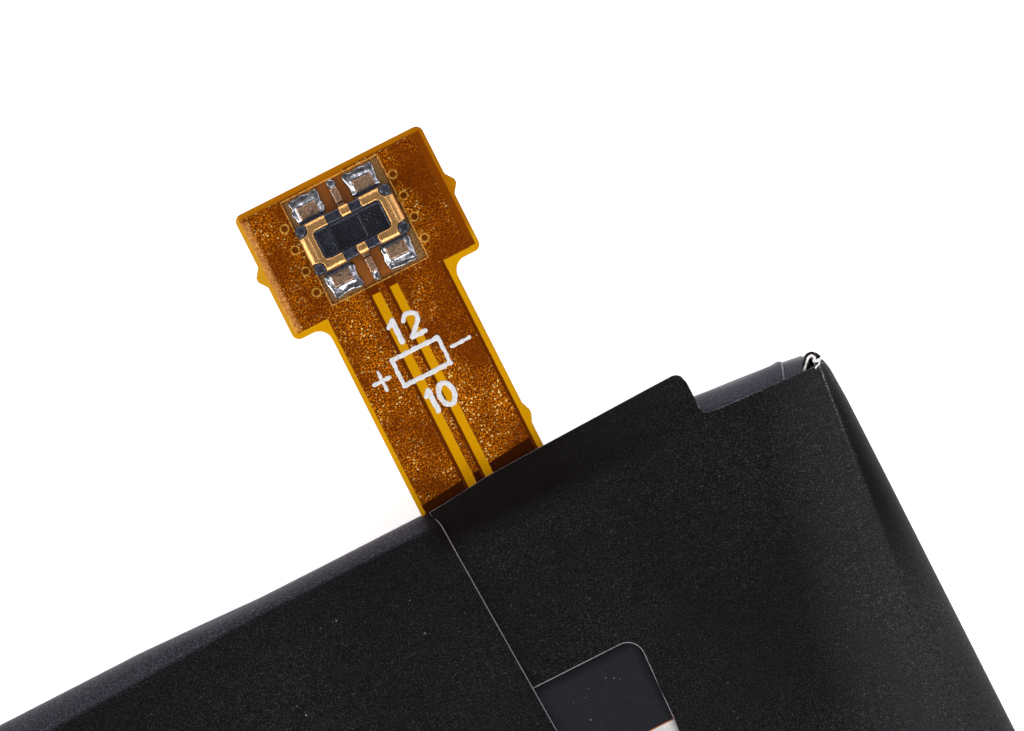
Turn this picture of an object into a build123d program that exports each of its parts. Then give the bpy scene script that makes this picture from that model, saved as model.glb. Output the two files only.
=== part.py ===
from build123d import *
import os

# Mobile phone battery: a pouch cell and its protection board wrapped in black film, with a short
# two-layer flex tail that ends in a board-to-board connector.
# Millimetres. X runs across the pack, +Y towards the tail, +Z up through the thickness.
# The origin is the middle of the pack's back face, on which the pack lies.

os.makedirs("parts", exist_ok=True)

# Wrapped pack
pack_width = 58.0
pack_length = 82.0
pack_thickness = 4.7
end_thickness = 4.1  # at the tail end, over the cell's terrace
slope_length = 6.0  # the front falls to the end thickness over this length
side_radius = 1.9
pinched_radius = 0.45  # the sides' rounding where the film is pinched in at the tail end
pinch_narrowing = 0.3  # each side draws in by this much at the tail end
tail_roll_radius = 1.0
back_roll_radius = 0.5
foot_roll_radius = 1.3

# Wrapping film: one sheet, whose cut edge lies over its own start in a seam on the front
film_thickness = 0.1
seam_overlap = 20.0
seam_slant = 0.0375  # sideways drift of the seam for each millimetre towards the foot
seam_offset = -1.85  # seam from the tail's centreline, at the fold of the flap
window_width = 3.81
window_length = 16.0
window_offset = 0.325  # window's middle from the tail's centreline
window_setback = 6.85  # window's top edge from the pack's tail end
window_radius = 0.6

# Flap of the film over the tail's root
flap_left = -1.87  # from the tail's centreline
flap_right = 7.54
flap_fold_setback = 1.8
flap_reach = 0.12  # past the pack's tail end
flap_corner_radius = 0.35
flap_clearance = 0.12  # between the flap and the tail
bare_edge_setback = 1.35  # the film's cut edge right of the flap, from the pack's tail end
bare_edge_slant = 0.05

# Tape that closes the tail end
tape_thickness = 0.12
tape_setback = 0.65
tape_roll_radius = 1.0
tape_foot_radius = 0.3
tape_front_lap = 2.0
tape_back_lap = 1.3
tape_left_margin = 5.0
tape_bend_radius = 26.0
tape_bend_angle = 8.0
tape_bend_offset = 7.0  # where the tape starts to bend back, from the tail's centreline
tape_clearance = 0.05

# Clear fold at the corner
fold_thickness = 0.08
fold_rise = 0.5  # above the pack's back face
fold_drop = 0.35  # below the front, at the pack's tail end

# Label on the cell's front
label_thickness = 0.08
label_width = 16.0
label_length = 40.0
label_margin = 0.6  # past the window's top edge
label_radius = 1.0

# Cell
cell_side_gap = 0.08
cup_setback = 4.7  # the cell's cup ends this far from the pack's tail end
cup_fillet = 0.6
terrace_length = 2.1
terrace_thickness = 0.3
terrace_rise = 0.3
terrace_side_margin = 2.0

# Tabs and their sealing strips
tab_width = 6.0
tab_thickness = 0.1
tab_spacing = 28.0
tab_bend_start = 0.65  # past the terrace's edge
tab_weld_length = 1.65
sealant_width = 8.0
sealant_length = 0.6
sealant_thickness = 0.3

# Protection board, hung component side down over the terrace
board_width = 3.0
board_thickness = 0.6
board_setback = 1.2
board_end_margin = 0.5  # past the weld plates at each end
board_side_margin = 2.1  # from the pack's right side
board_radius = 0.3
terrace_tape_thickness = 0.1
terrace_tape_margin = 0.3  # past the sealing strips at each end
terrace_foam_thickness = 0.7
terrace_foam_width = 1.4
terrace_foam_margin = 1.0  # short of the sealing strips at each end
component_room = 1.0
cover_foam_width = 2.2
cover_foam_gap = 0.15  # between the foam and the tail
plate_length = 7.0
plate_width = 2.2
plate_thickness = 0.15

# Components under the board: length, width, height
ic_size = (2.2, 1.6, 0.6)
transistor_size = (3.0, 2.2, 0.8)
fuse_size = (2.0, 1.2, 0.6)
resistor_size = (1.0, 0.5, 0.35)
capacitor_size = (1.0, 0.5, 0.5)
chip_pitch = 1.5
chip_row_offset = 0.75

# Flex tail
tail_width = 4.7
tail_length = 7.0  # from the pack's tail end to the head
tail_inset = 12.1  # tail's centreline from the pack's right side
root_margin = 0.4  # the tail starts this far inside the board's edge
head_width = 6.98
head_length = 4.63
head_corner_radius = 0.25
neck_radius = 0.5
nub_length = 0.75  # stubs left where the tail was cut from its sheet
nub_width = 0.22
nub_taper = 0.30
head_nub_offset = 2.4
tail_nub_offset = -5.6
tail_nub_width = 0.12
base_thickness = 0.05
copper_thickness = 0.035
coverlay_thickness = 0.04
stiffener_thickness = 0.25

# Copper areas, from the tail's centreline and the head's lower edge
copper_left = -2.19
positive_right = -0.63
signal_left = -0.20
signal_right = 0.04
negative_left = 0.44
copper_right = 2.04
head_copper_left = -3.29
head_copper_right = 3.22
head_copper_margin = 0.2
copper_end_margin = 0.2
signal_copper_margin = 0.05  # the signal strip ends this far inside the opening's far edge
copper_radius = 0.2
layer_shift = 0.11  # the back layer lies this much to the right of the front one
via_left = -2.11
via_right = 1.93
via_first = 1.16
via_pitch = 0.79
via_count = 4
via_radius = 0.15
via_sides = 20  # near enough to round at this size

# Connector
opening_width = 3.50
opening_length = 3.75
opening_x = -0.05
opening_y = 2.44
connector_x = -0.095
connector_y = 2.47
housing_length = 3.53
housing_width = 1.82
housing_height = 0.62
housing_standoff = 0.01  # above the cover film
housing_radius = 0.12
recess_length = 2.51
recess_width = 1.03
recess_radius = 0.15
floor_thickness = 0.2
pocket_length = 1.97
pocket_width = 0.93
pocket_offset = 0.2
pocket_depth = 0.08
knob_radius = 0.17
knob_height = 0.06
knob_inset = 0.19
knob_chamfer = 0.05
contact_thickness = 0.08
contact_proud = 0.03
contact_radius = 0.07
power_arm_width = 0.68
power_arm_offset = 1.02  # middle of a power arm, from the connector's middle
power_reach = 0.59
plate_corner_radius = 0.26  # where the plate leaves the housing's corner knobs bare
skirt_drop = 0.25  # how far the plate turns down over the end wall
signal_arm_width = 0.34
signal_leg_width = 0.24
signal_offset = 0.03
signal_reach = 0.67
solder_gap = 0.02  # solder under each contact's foot
solder_height = 0.11
solder_start = 0.03  # from the housing's long wall
solder_length = 0.84
power_solder_width = 1.1
signal_solder_width = 0.26
solder_shoulder = 0.05

# Places worked out from the sizes above
tail_end = pack_length / 2
foot_end = -pack_length / 2
slope_start = tail_end - slope_length
tail_x = pack_width / 2 - tail_inset
head_y = tail_end + tail_length
fold_y = tail_end - flap_fold_setback
tape_y = tail_end - tape_setback
cup_end = tail_end - cup_setback
terrace_end = cup_end + terrace_length
terrace_top = terrace_rise + terrace_thickness
terrace_foam_z = terrace_top + terrace_tape_thickness
board_z = terrace_foam_z + terrace_foam_thickness + component_room
board_top = board_z + board_thickness
board_y = tail_end - board_setback - board_width / 2
board_length = tab_spacing + plate_length + 2 * board_end_margin
board_x = pack_width / 2 - board_side_margin - board_length / 2
root_y = board_y - board_width / 2 + root_margin
plate_z = board_z - plate_thickness
back_copper_z = board_top + coverlay_thickness
base_z = back_copper_z + copper_thickness
front_copper_z = base_z + base_thickness
pad_z = front_copper_z + copper_thickness
tail_top = pad_z + coverlay_thickness
housing_z = tail_top + housing_standoff
label_z = pack_thickness - film_thickness - label_thickness
cell_inset = film_thickness + cell_side_gap
window_top = tail_end - window_setback


def front_height(y):
    """Height of the pack's front face at a place along its length."""
    past_start = max(0.0, y - slope_start)
    return pack_thickness - (pack_thickness - end_thickness) * past_start / slope_length


def pack_form(inset):
    """The wrapped pack's outer form, drawn in by inset all round."""
    end = tail_end - inset
    end_width = pack_width - 2 * pinch_narrowing
    stations = [
        (foot_end + inset, pack_width, pack_thickness, side_radius),
        (slope_start, pack_width, pack_thickness, side_radius),
        (end, end_width, front_height(end), pinched_radius),
    ]
    with BuildPart() as form:
        for y, width, height, radius in stations:
            with BuildSketch(Plane.XZ.offset(-y)):
                with Locations((0, height / 2)):
                    RectangleRounded(width - 2 * inset, height - 2 * inset, radius - inset)
        loft(ruled=True)
        # The rolled edges at both ends, seen from the side
        with BuildSketch(Plane.YZ) as side_view:
            with BuildLine():
                Polyline(
                    (foot_end + inset, inset),
                    (end, inset),
                    (end, front_height(end) - inset),
                    (slope_start, pack_thickness - inset),
                    (foot_end + inset, pack_thickness - inset),
                    close=True,
                )
            make_face()
            fillet(side_view.vertices().group_by(Axis.X)[0], foot_roll_radius - inset)
            fillet(side_view.vertices().group_by(Axis.X)[-1].sort_by(Axis.Y)[-1], tail_roll_radius - inset)
            fillet(side_view.vertices().group_by(Axis.X)[-1].sort_by(Axis.Y)[0], back_roll_radius - inset)
        extrude(amount=pack_width, both=True, mode=Mode.INTERSECT)
    return form.part


def seam_x(y):
    """The seam's place across the pack, at a place along it."""
    return tail_x + seam_offset + seam_slant * (fold_y - y)


# Wrapping film
with BuildPart() as overlap_strip:
    add(pack_form(-film_thickness))
    with BuildSketch(Plane.XY.offset(pack_thickness / 2)):
        with BuildLine():
            Polyline(
                (seam_x(tail_end + 1), tail_end + 1),
                (seam_x(tail_end + 1) - seam_overlap, tail_end + 1),
                (seam_x(foot_end - 1) - seam_overlap, foot_end - 1),
                (seam_x(foot_end - 1), foot_end - 1),
                close=True,
            )
        make_face()
    extrude(amount=pack_thickness, mode=Mode.INTERSECT)
    add(pack_form(0), mode=Mode.SUBTRACT)

with BuildPart() as flap:
    with BuildSketch(Plane.YZ.offset(tail_x + flap_left)) as flap_side:
        with BuildLine():
            fold_z = front_height(fold_y)
            tip_y = tail_end + flap_reach + 0.3
            tip_z = tail_top + flap_clearance + film_thickness
            top_line = Spline((fold_y, fold_z), (tip_y, tip_z), tangents=[(1, -0.1), (1, -0.25)])
            Line(top_line @ 1, (tip_y, tip_z - film_thickness))
            under_line = Spline(
                (fold_y, fold_z - film_thickness),
                (tip_y, tip_z - film_thickness),
                tangents=[(1, -0.1), (1, -0.25)],
            )
            Line(under_line @ 0, top_line @ 0)
        make_face()
    extrude(amount=flap_right - flap_left)
    with BuildSketch() as flap_outline:
        with BuildLine():
            left = tail_x + flap_left
            right = tail_x + flap_right
            Polyline(
                (left, fold_y),
                (left, tail_end - flap_reach / 2),
                (left + 2.1, tail_end + flap_reach),
                (right, tail_end + flap_reach + 0.2),
                (right, fold_y),
                close=True,
            )
        make_face()
        fillet(flap_outline.vertices().sort_by(Axis.Y)[-1], flap_corner_radius)
    extrude(amount=2 * pack_thickness, mode=Mode.INTERSECT)

with BuildPart() as wrap_film:
    add(pack_form(0))
    add(pack_form(film_thickness), mode=Mode.SUBTRACT)
    # The tail end stands open right of the seam, under the flap and past the cut edge beside it
    with BuildSketch(Plane.XY.offset(2 * film_thickness)):
        with BuildLine():
            left = tail_x + flap_left
            right = tail_x + flap_right
            side = pack_width / 2 + 1
            edge_y = tail_end - bare_edge_setback
            Polyline(
                (left, fold_y),
                (right, fold_y),
                (right, edge_y),
                (side, edge_y - bare_edge_slant * (side - right)),
                (side, tail_end + 1),
                (left, tail_end + 1),
                close=True,
            )
        make_face()
    extrude(amount=pack_thickness, mode=Mode.SUBTRACT)
    # The back of the film stops short under the open end
    with BuildSketch():
        with Locations((left, tape_y)):
            Rectangle(side - left, 2 * pack_thickness, align=(Align.MIN, Align.MIN))
    extrude(amount=pack_thickness, mode=Mode.SUBTRACT)
    # Window over the label
    with BuildSketch(Plane.XY.offset(pack_thickness / 2)):
        with Locations((tail_x + window_offset, window_top)):
            RectangleRounded(window_width, window_length, window_radius, align=(Align.CENTER, Align.MAX))
    extrude(amount=pack_thickness, mode=Mode.SUBTRACT)
    add(overlap_strip.part)
    # Slot where the tail's left edge leaves below the rolled edge
    with BuildSketch(Plane.XZ.offset(-tail_end - 1)):
        with Locations((tail_x - tail_width / 2 - flap_clearance, board_top - flap_clearance)):
            Rectangle(tail_width / 2, tail_top - board_top + 2 * flap_clearance, align=(Align.MIN, Align.MIN))
    extrude(amount=2, mode=Mode.SUBTRACT)
    add(flap.part)
wrap_film.part.label = "wrap_film"
export_step(wrap_film.part, "parts/wrap_film.step")

# Tape that closes the tail end, over the front edge and down the end wall
tape_left = -pack_width / 2 + tape_left_margin
with BuildPart() as top_wall_tape:
    with BuildLine() as tape_path:
        run = Line((tape_left, tape_y, 0), (tail_x + tape_bend_offset, tape_y, 0))
        JernArc(run @ 1, (1, 0, 0), tape_bend_radius, -tape_bend_angle)
    with BuildSketch(Plane.YZ.offset(tape_left)) as tape_section:
        with BuildLine() as tape_outer:
            lap_y = tape_y - tape_front_lap
            drop = film_thickness + tape_clearance
            FilletPolyline(
                (lap_y, front_height(lap_y) - drop),
                (tape_y, front_height(tape_y) - drop),
                (tape_y, drop),
                (tape_y - tape_back_lap, drop),
                radius=(tape_roll_radius, tape_foot_radius),
            )
            offset(amount=tape_thickness, side=Side.RIGHT)
        make_face()
    sweep()
    # Slot for the tail
    with BuildSketch(Plane.XZ.offset(-tail_end)):
        with Locations((tail_x, board_top - tape_clearance)):
            Rectangle(
                tail_width + 2 * flap_clearance,
                tail_top - board_top + 2 * tape_clearance,
                align=(Align.CENTER, Align.MIN),
            )
    extrude(amount=2 * tape_setback, mode=Mode.SUBTRACT)
top_wall_tape.part.label = "top_wall_tape"
export_step(top_wall_tape.part, "parts/top_wall_tape.step")

# Clear film folded round the corner in two pleats
with BuildPart() as corner_fold:
    with BuildSketch(Plane.XY.offset(fold_rise)):
        with BuildLine():
            corner_x = pack_width / 2 - pinch_narrowing
            Polyline(
                (corner_x - 1.05, tape_y - 0.75),
                (corner_x - 0.70, tape_y - 0.95),
                (corner_x - 0.42, tape_y - 0.50),
                (corner_x - 0.20, tape_y - 1.00),
                (corner_x - 0.35, tape_y - 1.90),
            )
            offset(amount=fold_thickness, side=Side.RIGHT)
        make_face()
    extrude(amount=end_thickness - fold_rise - fold_drop)
corner_fold.part.label = "corner_fold"
export_step(corner_fold.part, "parts/corner_fold.step")

# Label between the cell and the film
with BuildPart() as inner_label:
    with BuildSketch(Plane.XY.offset(label_z)):
        with Locations((tail_x + window_offset, window_top + label_margin)):
            RectangleRounded(label_width, label_length, label_radius, align=(Align.CENTER, Align.MAX))
    extrude(amount=label_thickness)
inner_label.part.label = "inner_label"
export_step(inner_label.part, "parts/inner_label.step")

# Pouch cell: the formed cup and the flat sealed terrace that the tabs come out of
with BuildPart() as cell_pouch:
    add(pack_form(cell_inset))
    with BuildSketch():
        with Locations((0, cup_end)):
            Rectangle(pack_width, pack_length, align=(Align.CENTER, Align.MIN))
    extrude(amount=pack_thickness, mode=Mode.SUBTRACT)
    cup_face = cell_pouch.faces().sort_by(Axis.Y)[-1]
    fillet(cup_face.edges(), cup_fillet)
    with BuildSketch(Plane.XY.offset(terrace_rise)):
        with Locations((0, terrace_end)):
            Rectangle(
                pack_width - 2 * terrace_side_margin,
                terrace_length + cup_fillet,
                align=(Align.CENTER, Align.MAX),
            )
    extrude(amount=terrace_thickness)
cell_pouch.part.label = "cell_pouch"
export_step(cell_pouch.part, "parts/cell_pouch.step")

# Tabs: out of the terrace, round a bend and back under the board to their weld plates
tab_low = terrace_rise + (terrace_thickness - tab_thickness) / 2
tab_bend_y = terrace_end + tab_bend_start


def bent_tab(x):
    """A tab centred on x."""
    middle = (tab_low + plate_z) / 2
    radius = (plate_z - tab_low) / 2
    with BuildPart() as tab:
        with BuildSketch(Plane.YZ.offset(x - tab_width / 2)):
            with BuildLine():
                lower = Line((terrace_end, tab_low), (tab_bend_y, tab_low))
                bend = ThreePointArc(lower @ 1, (tab_bend_y + radius, middle), (tab_bend_y, plate_z))
                Line(bend @ 1, (tab_bend_y - tab_weld_length, plate_z))
                offset(amount=tab_thickness, side=Side.LEFT)
            make_face()
        extrude(amount=tab_width)
    return tab.part


def sealing_strip(x):
    """The strip round a tab at the terrace's edge."""
    strip_z = terrace_rise + (terrace_thickness - sealant_thickness) / 2
    with BuildPart() as strip:
        with BuildSketch(Plane.XZ.offset(-terrace_end)):
            with Locations((x, strip_z + sealant_thickness / 2)):
                Rectangle(sealant_width, sealant_thickness)
                Rectangle(tab_width, tab_thickness, mode=Mode.SUBTRACT)
        extrude(amount=-sealant_length)
    return strip.part


tab_places = {"positive_tab": board_x - tab_spacing / 2, "negative_tab": board_x + tab_spacing / 2}
for name, x in tab_places.items():
    tab_part = bent_tab(x)
    tab_part.label = name
    export_step(tab_part, f"parts/{name}.step")

with BuildPart() as tab_sealant:
    for x in tab_places.values():
        add(sealing_strip(x))
tab_sealant.part.label = "tab_sealant"
export_step(tab_sealant.part, "parts/tab_sealant.step")

# Nickel plates on the board, which the tabs are welded to
with BuildPart() as weld_plates:
    with BuildSketch(Plane.XY.offset(plate_z)):
        with Locations(*[(x, board_y) for x in tab_places.values()]):
            Rectangle(plate_length, plate_width)
    extrude(amount=plate_thickness)
weld_plates.part.label = "weld_plates"
export_step(weld_plates.part, "parts/weld_plates.step")

# Insulating tape and foam on the terrace
terrace_tape_length = tab_spacing + sealant_width + 2 * terrace_tape_margin
with BuildPart() as terrace_tape:
    with BuildSketch(Plane.XY.offset(terrace_top)):
        with Locations((board_x, terrace_end)):
            Rectangle(terrace_tape_length, terrace_length - cell_side_gap, align=(Align.CENTER, Align.MAX))
    extrude(amount=terrace_tape_thickness)
terrace_tape.part.label = "terrace_tape"
export_step(terrace_tape.part, "parts/terrace_tape.step")

terrace_foam_length = tab_spacing - sealant_width - 2 * terrace_foam_margin
with BuildPart() as terrace_foam:
    with BuildSketch(Plane.XY.offset(terrace_foam_z)):
        with Locations((board_x, terrace_end - 0.1)):
            RectangleRounded(terrace_foam_length, terrace_foam_width, 0.2, align=(Align.CENTER, Align.MAX))
    extrude(amount=terrace_foam_thickness)
terrace_foam.part.label = "terrace_foam"
export_step(terrace_foam.part, "parts/terrace_foam.step")

# Protection board
with BuildPart() as protection_board:
    with BuildSketch(Plane.XY.offset(board_z)):
        with Locations((board_x, board_y)):
            RectangleRounded(board_length, board_width, board_radius)
    extrude(amount=board_thickness)
protection_board.part.label = "protection_board"
export_step(protection_board.part, "parts/protection_board.step")

# Foam over the board, up to the closing tape
foam_top = end_thickness - film_thickness - 2 * tape_clearance - tape_thickness
foam_right = tail_x - tail_width / 2 - cover_foam_gap
with BuildPart() as cover_foam:
    with BuildSketch(Plane.XY.offset(board_top)):
        with Locations((foam_right, board_y)):
            RectangleRounded(
                foam_right - board_x + board_length / 2,
                cover_foam_width,
                board_radius,
                align=(Align.MAX, Align.CENTER),
            )
    extrude(amount=foam_top - board_top)
cover_foam.part.label = "cover_foam"
export_step(cover_foam.part, "parts/cover_foam.step")


def under_board(size, places):
    """Chips of one size hung under the board."""
    length, width, height = size
    with BuildPart() as chips:
        with Locations(*[(board_x + x, board_y + y, board_z) for x, y in places]):
            Box(length, width, height, align=(Align.CENTER, Align.CENTER, Align.MAX))
        edge = min(0.12, height / 4)
        chamfer(chips.faces().group_by(Axis.Z)[0].edges(), edge)
    return chips.part


# The chips stand in a row between the weld plates, evenly spaced
small_chips_length = 2 * chip_pitch + resistor_size[0]
row = [small_chips_length, fuse_size[0], ic_size[0], transistor_size[0], transistor_size[0]]
row_gap = (tab_spacing - plate_length - sum(row)) / (len(row) + 1)
row_left = -(tab_spacing - plate_length) / 2
middles = [row_left + (i + 1) * row_gap + sum(row[:i]) + row[i] / 2 for i in range(len(row))]
small_x = middles[0]
both_rows = (chip_row_offset, -chip_row_offset)
chips = {
    "protection_ic": (ic_size, [(middles[2], 0)]),
    "power_transistors": (transistor_size, [(middles[3], 0), (middles[4], 0)]),
    "current_fuse": (fuse_size, [(middles[1], 0)]),
    "chip_resistors": (resistor_size, [(small_x + x, y) for x in (0, chip_pitch) for y in both_rows]),
    "chip_capacitors": (capacitor_size, [(small_x - chip_pitch, y) for y in both_rows]),
}
for name, (size, places) in chips.items():
    chip_part = under_board(size, places)
    chip_part.label = name
    export_step(chip_part, f"parts/{name}.step")


def tail_plane(z):
    """A plane at height z with its origin on the tail's centreline, at the head's lower edge."""
    return Plane(origin=(tail_x, head_y, z), z_dir=(0, 0, 1))


root_local = root_y - head_y
via_places = [(x, via_first + i * via_pitch) for x in (via_left, via_right) for i in range(via_count)]


def tail_outline():
    """The tail and its head in plan, with the stubs along their edges."""
    with BuildSketch() as outline:
        Rectangle(tail_width, -root_local, align=(Align.CENTER, Align.MAX))
        Rectangle(head_width, head_length, align=(Align.CENTER, Align.MIN))
        fillet(outline.vertices().group_by(Axis.Y)[-1], head_corner_radius)
        # The inner two points at the head's lower edge are the neck, the outer two its corners
        fillet(outline.vertices().filter_by_position(Axis.Y, -0.01, 0.01).sort_by(Axis.X)[1:3], neck_radius)
        shoulders = outline.vertices().filter_by_position(Axis.Y, -0.01, 0.01).sort_by(Axis.X)
        fillet([shoulders[0], shoulders[-1]], head_corner_radius)
        stubs = [
            (head_width / 2, head_nub_offset, nub_width, 1),
            (-head_width / 2, head_nub_offset, nub_width, -1),
            (tail_width / 2, tail_nub_offset, tail_nub_width, 1),
        ]
        for x, y, width, side_sign in stubs:
            with BuildLine():
                Polyline(
                    (x - side_sign * width, y - nub_length / 2),
                    (x, y - nub_length / 2),
                    (x + side_sign * width, y - nub_length / 2 + nub_taper),
                    (x + side_sign * width, y + nub_length / 2 - nub_taper),
                    (x, y + nub_length / 2),
                    (x - side_sign * width, y + nub_length / 2),
                    close=True,
                )
            make_face()
    return outline.sketch


def copper_area(tail_left, tail_right, head_left, head_right, far_end):
    """One copper area in plan: its strip along the tail and its part of the head, up to far_end."""
    strip_start = root_local + copper_end_margin
    with BuildSketch() as area:
        with Locations((tail_left, strip_start)):
            Rectangle(tail_right - tail_left, -strip_start + 1, align=(Align.MIN, Align.MIN))
        with Locations((head_left, head_copper_margin)):
            Rectangle(
                head_right - head_left,
                far_end - head_copper_margin,
                align=(Align.MIN, Align.MIN),
            )
        if head_right - head_left > tail_right - tail_left + copper_radius:
            outer = Axis.X if head_left + head_right > 0 else -Axis.X
            fillet(area.vertices().group_by(outer)[-1], copper_radius)
    return area.sketch


pour_end = head_length - head_copper_margin
signal_end = opening_y + opening_length / 2 - signal_copper_margin
positive_area = copper_area(copper_left, positive_right, head_copper_left, positive_right, pour_end)
negative_area = copper_area(negative_left, copper_right, negative_left, head_copper_right, pour_end)
signal_area = copper_area(signal_left, signal_right, signal_left, signal_right, signal_end)
outline = tail_outline()

# Base film, with a hole for each via
with BuildPart() as flex_base:
    with BuildSketch(tail_plane(base_z)):
        add(outline)
        with Locations(*via_places):
            RegularPolygon(via_radius, via_sides, mode=Mode.SUBTRACT)
    extrude(amount=base_thickness)
flex_base.part.label = "flex_base"
export_step(flex_base.part, "parts/flex_base.step")

# Front copper
for name, area in {
    "positive_copper": positive_area,
    "negative_copper": negative_area,
    "signal_copper": signal_area,
}.items():
    with BuildPart() as copper:
        with BuildSketch(tail_plane(front_copper_z)):
            add(area)
        extrude(amount=copper_thickness)
    copper.part.label = name
    export_step(copper.part, f"parts/{name}.step")

# Back copper, the same areas set over to the right
with BuildPart() as back_copper:
    with BuildSketch(tail_plane(back_copper_z)):
        with Locations((layer_shift, 0)):
            add(positive_area)
            add(negative_area)
            add(signal_area)
    extrude(amount=copper_thickness)
back_copper.part.label = "back_copper"
export_step(back_copper.part, "parts/back_copper.step")

# Vias join the two copper layers through the base film
with BuildPart() as plated_vias:
    with BuildSketch(tail_plane(base_z)):
        with Locations(*via_places):
            RegularPolygon(via_radius, via_sides)
    extrude(amount=base_thickness)
plated_vias.part.label = "plated_vias"
export_step(plated_vias.part, "parts/plated_vias.step")

# Cover films and the stiffener behind the head
with BuildPart() as front_coverlay:
    with BuildSketch(tail_plane(pad_z)):
        add(outline)
        with Locations((opening_x, opening_y)):
            RectangleRounded(opening_width, opening_length, 0.1, mode=Mode.SUBTRACT)
    extrude(amount=coverlay_thickness)
front_coverlay.part.label = "front_coverlay"
export_step(front_coverlay.part, "parts/front_coverlay.step")

with BuildPart() as back_coverlay:
    with BuildSketch(tail_plane(board_top)):
        add(outline)
    extrude(amount=coverlay_thickness)
back_coverlay.part.label = "back_coverlay"
export_step(back_coverlay.part, "parts/back_coverlay.step")

with BuildPart() as head_stiffener:
    with BuildSketch(tail_plane(board_top - stiffener_thickness)):
        with Locations((0, head_length / 2)):
            RectangleRounded(head_width, head_length, head_corner_radius)
    extrude(amount=stiffener_thickness)
head_stiffener.part.label = "head_stiffener"
export_step(head_stiffener.part, "parts/head_stiffener.step")

# Connector contacts: strip bent over the housing's long walls, with a foot on each solder pad
contact_x = tail_x + connector_x
contact_y = head_y + connector_y
wall_outer = housing_width / 2
wall_inner = recess_width / 2


def contact_arm(x, arm_width, foot_width, reach, side_sign):
    """One contact arm over a long wall; side_sign is 1 for the wall away from the pack."""
    arm_plane = Plane(origin=(x, contact_y, pad_z), x_dir=(0, side_sign, 0), z_dir=(side_sign, 0, 0))
    inner = wall_inner - contact_proud
    outer = wall_outer + contact_proud
    low = housing_z - pad_z + floor_thickness
    high = housing_z - pad_z + housing_height + contact_proud
    with BuildPart() as arm:
        with BuildSketch(arm_plane) as hat:
            with BuildLine():
                Polyline(
                    (inner, low),
                    (inner, high),
                    (outer, high),
                    (outer, solder_gap),
                    (outer - contact_thickness, solder_gap),
                    (outer - contact_thickness, high - contact_thickness),
                    (inner + contact_thickness, high - contact_thickness),
                    (inner + contact_thickness, low),
                    close=True,
                )
            make_face()
            top_corners = hat.vertices().group_by(Axis.Y)[-1]
            fillet(top_corners, contact_radius)
        extrude(amount=arm_width / 2, both=True)
        with BuildSketch(arm_plane):
            with Locations((wall_outer, solder_gap)):
                Rectangle(reach, contact_thickness + solder_gap, align=(Align.MIN, Align.MIN))
        extrude(amount=foot_width / 2, both=True)
    return arm.part


def power_contact(hand):
    """A power contact; hand is -1 for the left one and 1 for the right one."""
    arm_x = contact_x + hand * power_arm_offset
    arm_end = contact_x + hand * (power_arm_offset - power_arm_width / 2)
    end_x = contact_x + hand * (housing_length / 2 + contact_proud)
    top = housing_z + housing_height + contact_proud
    with BuildPart() as contact:
        for side_sign in (1, -1):
            add(contact_arm(arm_x, power_arm_width, power_arm_width, power_reach, side_sign))
        # C-shaped plate round the end of the recess, bare at the corner knobs
        with BuildSketch(Plane.XY.offset(top - contact_thickness)) as plate:
            with Locations(((arm_end + end_x) / 2, contact_y)):
                Rectangle(abs(end_x - arm_end), housing_width - 2 * contact_thickness)
            with Locations((contact_x, contact_y)):
                RectangleRounded(
                    recess_length - 2 * contact_proud,
                    recess_width - 2 * contact_proud,
                    recess_radius,
                    mode=Mode.SUBTRACT,
                )
                with GridLocations(housing_length - 2 * knob_inset, housing_width - 2 * knob_inset, 2, 2):
                    Circle(plate_corner_radius, mode=Mode.SUBTRACT)
        extrude(amount=contact_thickness)
        # The plate turns down over the outside of the end wall
        skirt_width = housing_width - 2 * knob_inset - 2 * plate_corner_radius
        with BuildSketch(Plane.XY.offset(top - skirt_drop)):
            with Locations((end_x - hand * contact_thickness / 2, contact_y)):
                Rectangle(contact_thickness, skirt_width)
        extrude(amount=skirt_drop)
        end_edges = contact.edges().filter_by(Axis.Y).group_by(Axis.Z)[-1].sort_by(Axis.X)
        fillet(end_edges[0] if hand < 0 else end_edges[-1], contact_radius)
    return contact.part


contacts = {
    "power_contact_left": power_contact(-1),
    "power_contact_right": power_contact(1),
}
for name, side_sign in {"signal_contact_upper": 1, "signal_contact_lower": -1}.items():
    contacts[name] = contact_arm(
        contact_x + signal_offset, signal_arm_width, signal_leg_width, signal_reach, side_sign
    )
for name, contact_part in contacts.items():
    contact_part.label = name
    export_step(contact_part, f"parts/{name}.step")

# Housing, moulded round the contacts
with BuildPart() as connector_housing:
    with BuildSketch(Plane.XY.offset(housing_z)):
        with Locations((contact_x, contact_y)):
            RectangleRounded(housing_length, housing_width, housing_radius)
    extrude(amount=housing_height)
    with BuildSketch(Plane.XY.offset(housing_z + floor_thickness)):
        with Locations((contact_x, contact_y)):
            RectangleRounded(recess_length, recess_width, recess_radius)
    extrude(amount=housing_height, mode=Mode.SUBTRACT)
    with BuildSketch(Plane.XY.offset(housing_z + floor_thickness - pocket_depth)):
        with Locations((contact_x + pocket_offset, contact_y)):
            Rectangle(pocket_length, pocket_width)
    extrude(amount=housing_height, mode=Mode.SUBTRACT)
    with BuildSketch(Plane.XY.offset(housing_z)):
        with Locations((contact_x, contact_y)):
            with GridLocations(housing_length - 2 * knob_inset, housing_width - 2 * knob_inset, 2, 2):
                Circle(knob_radius)
    extrude(amount=housing_height + knob_height)
    knob_tops = connector_housing.faces().sort_by(Axis.Z)[-4:]
    chamfer(knob_tops.edges(), knob_chamfer)
    for contact_part in contacts.values():
        add(contact_part, mode=Mode.SUBTRACT)
connector_housing.part.label = "connector_housing"
export_step(connector_housing.part, "parts/connector_housing.step")


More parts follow.
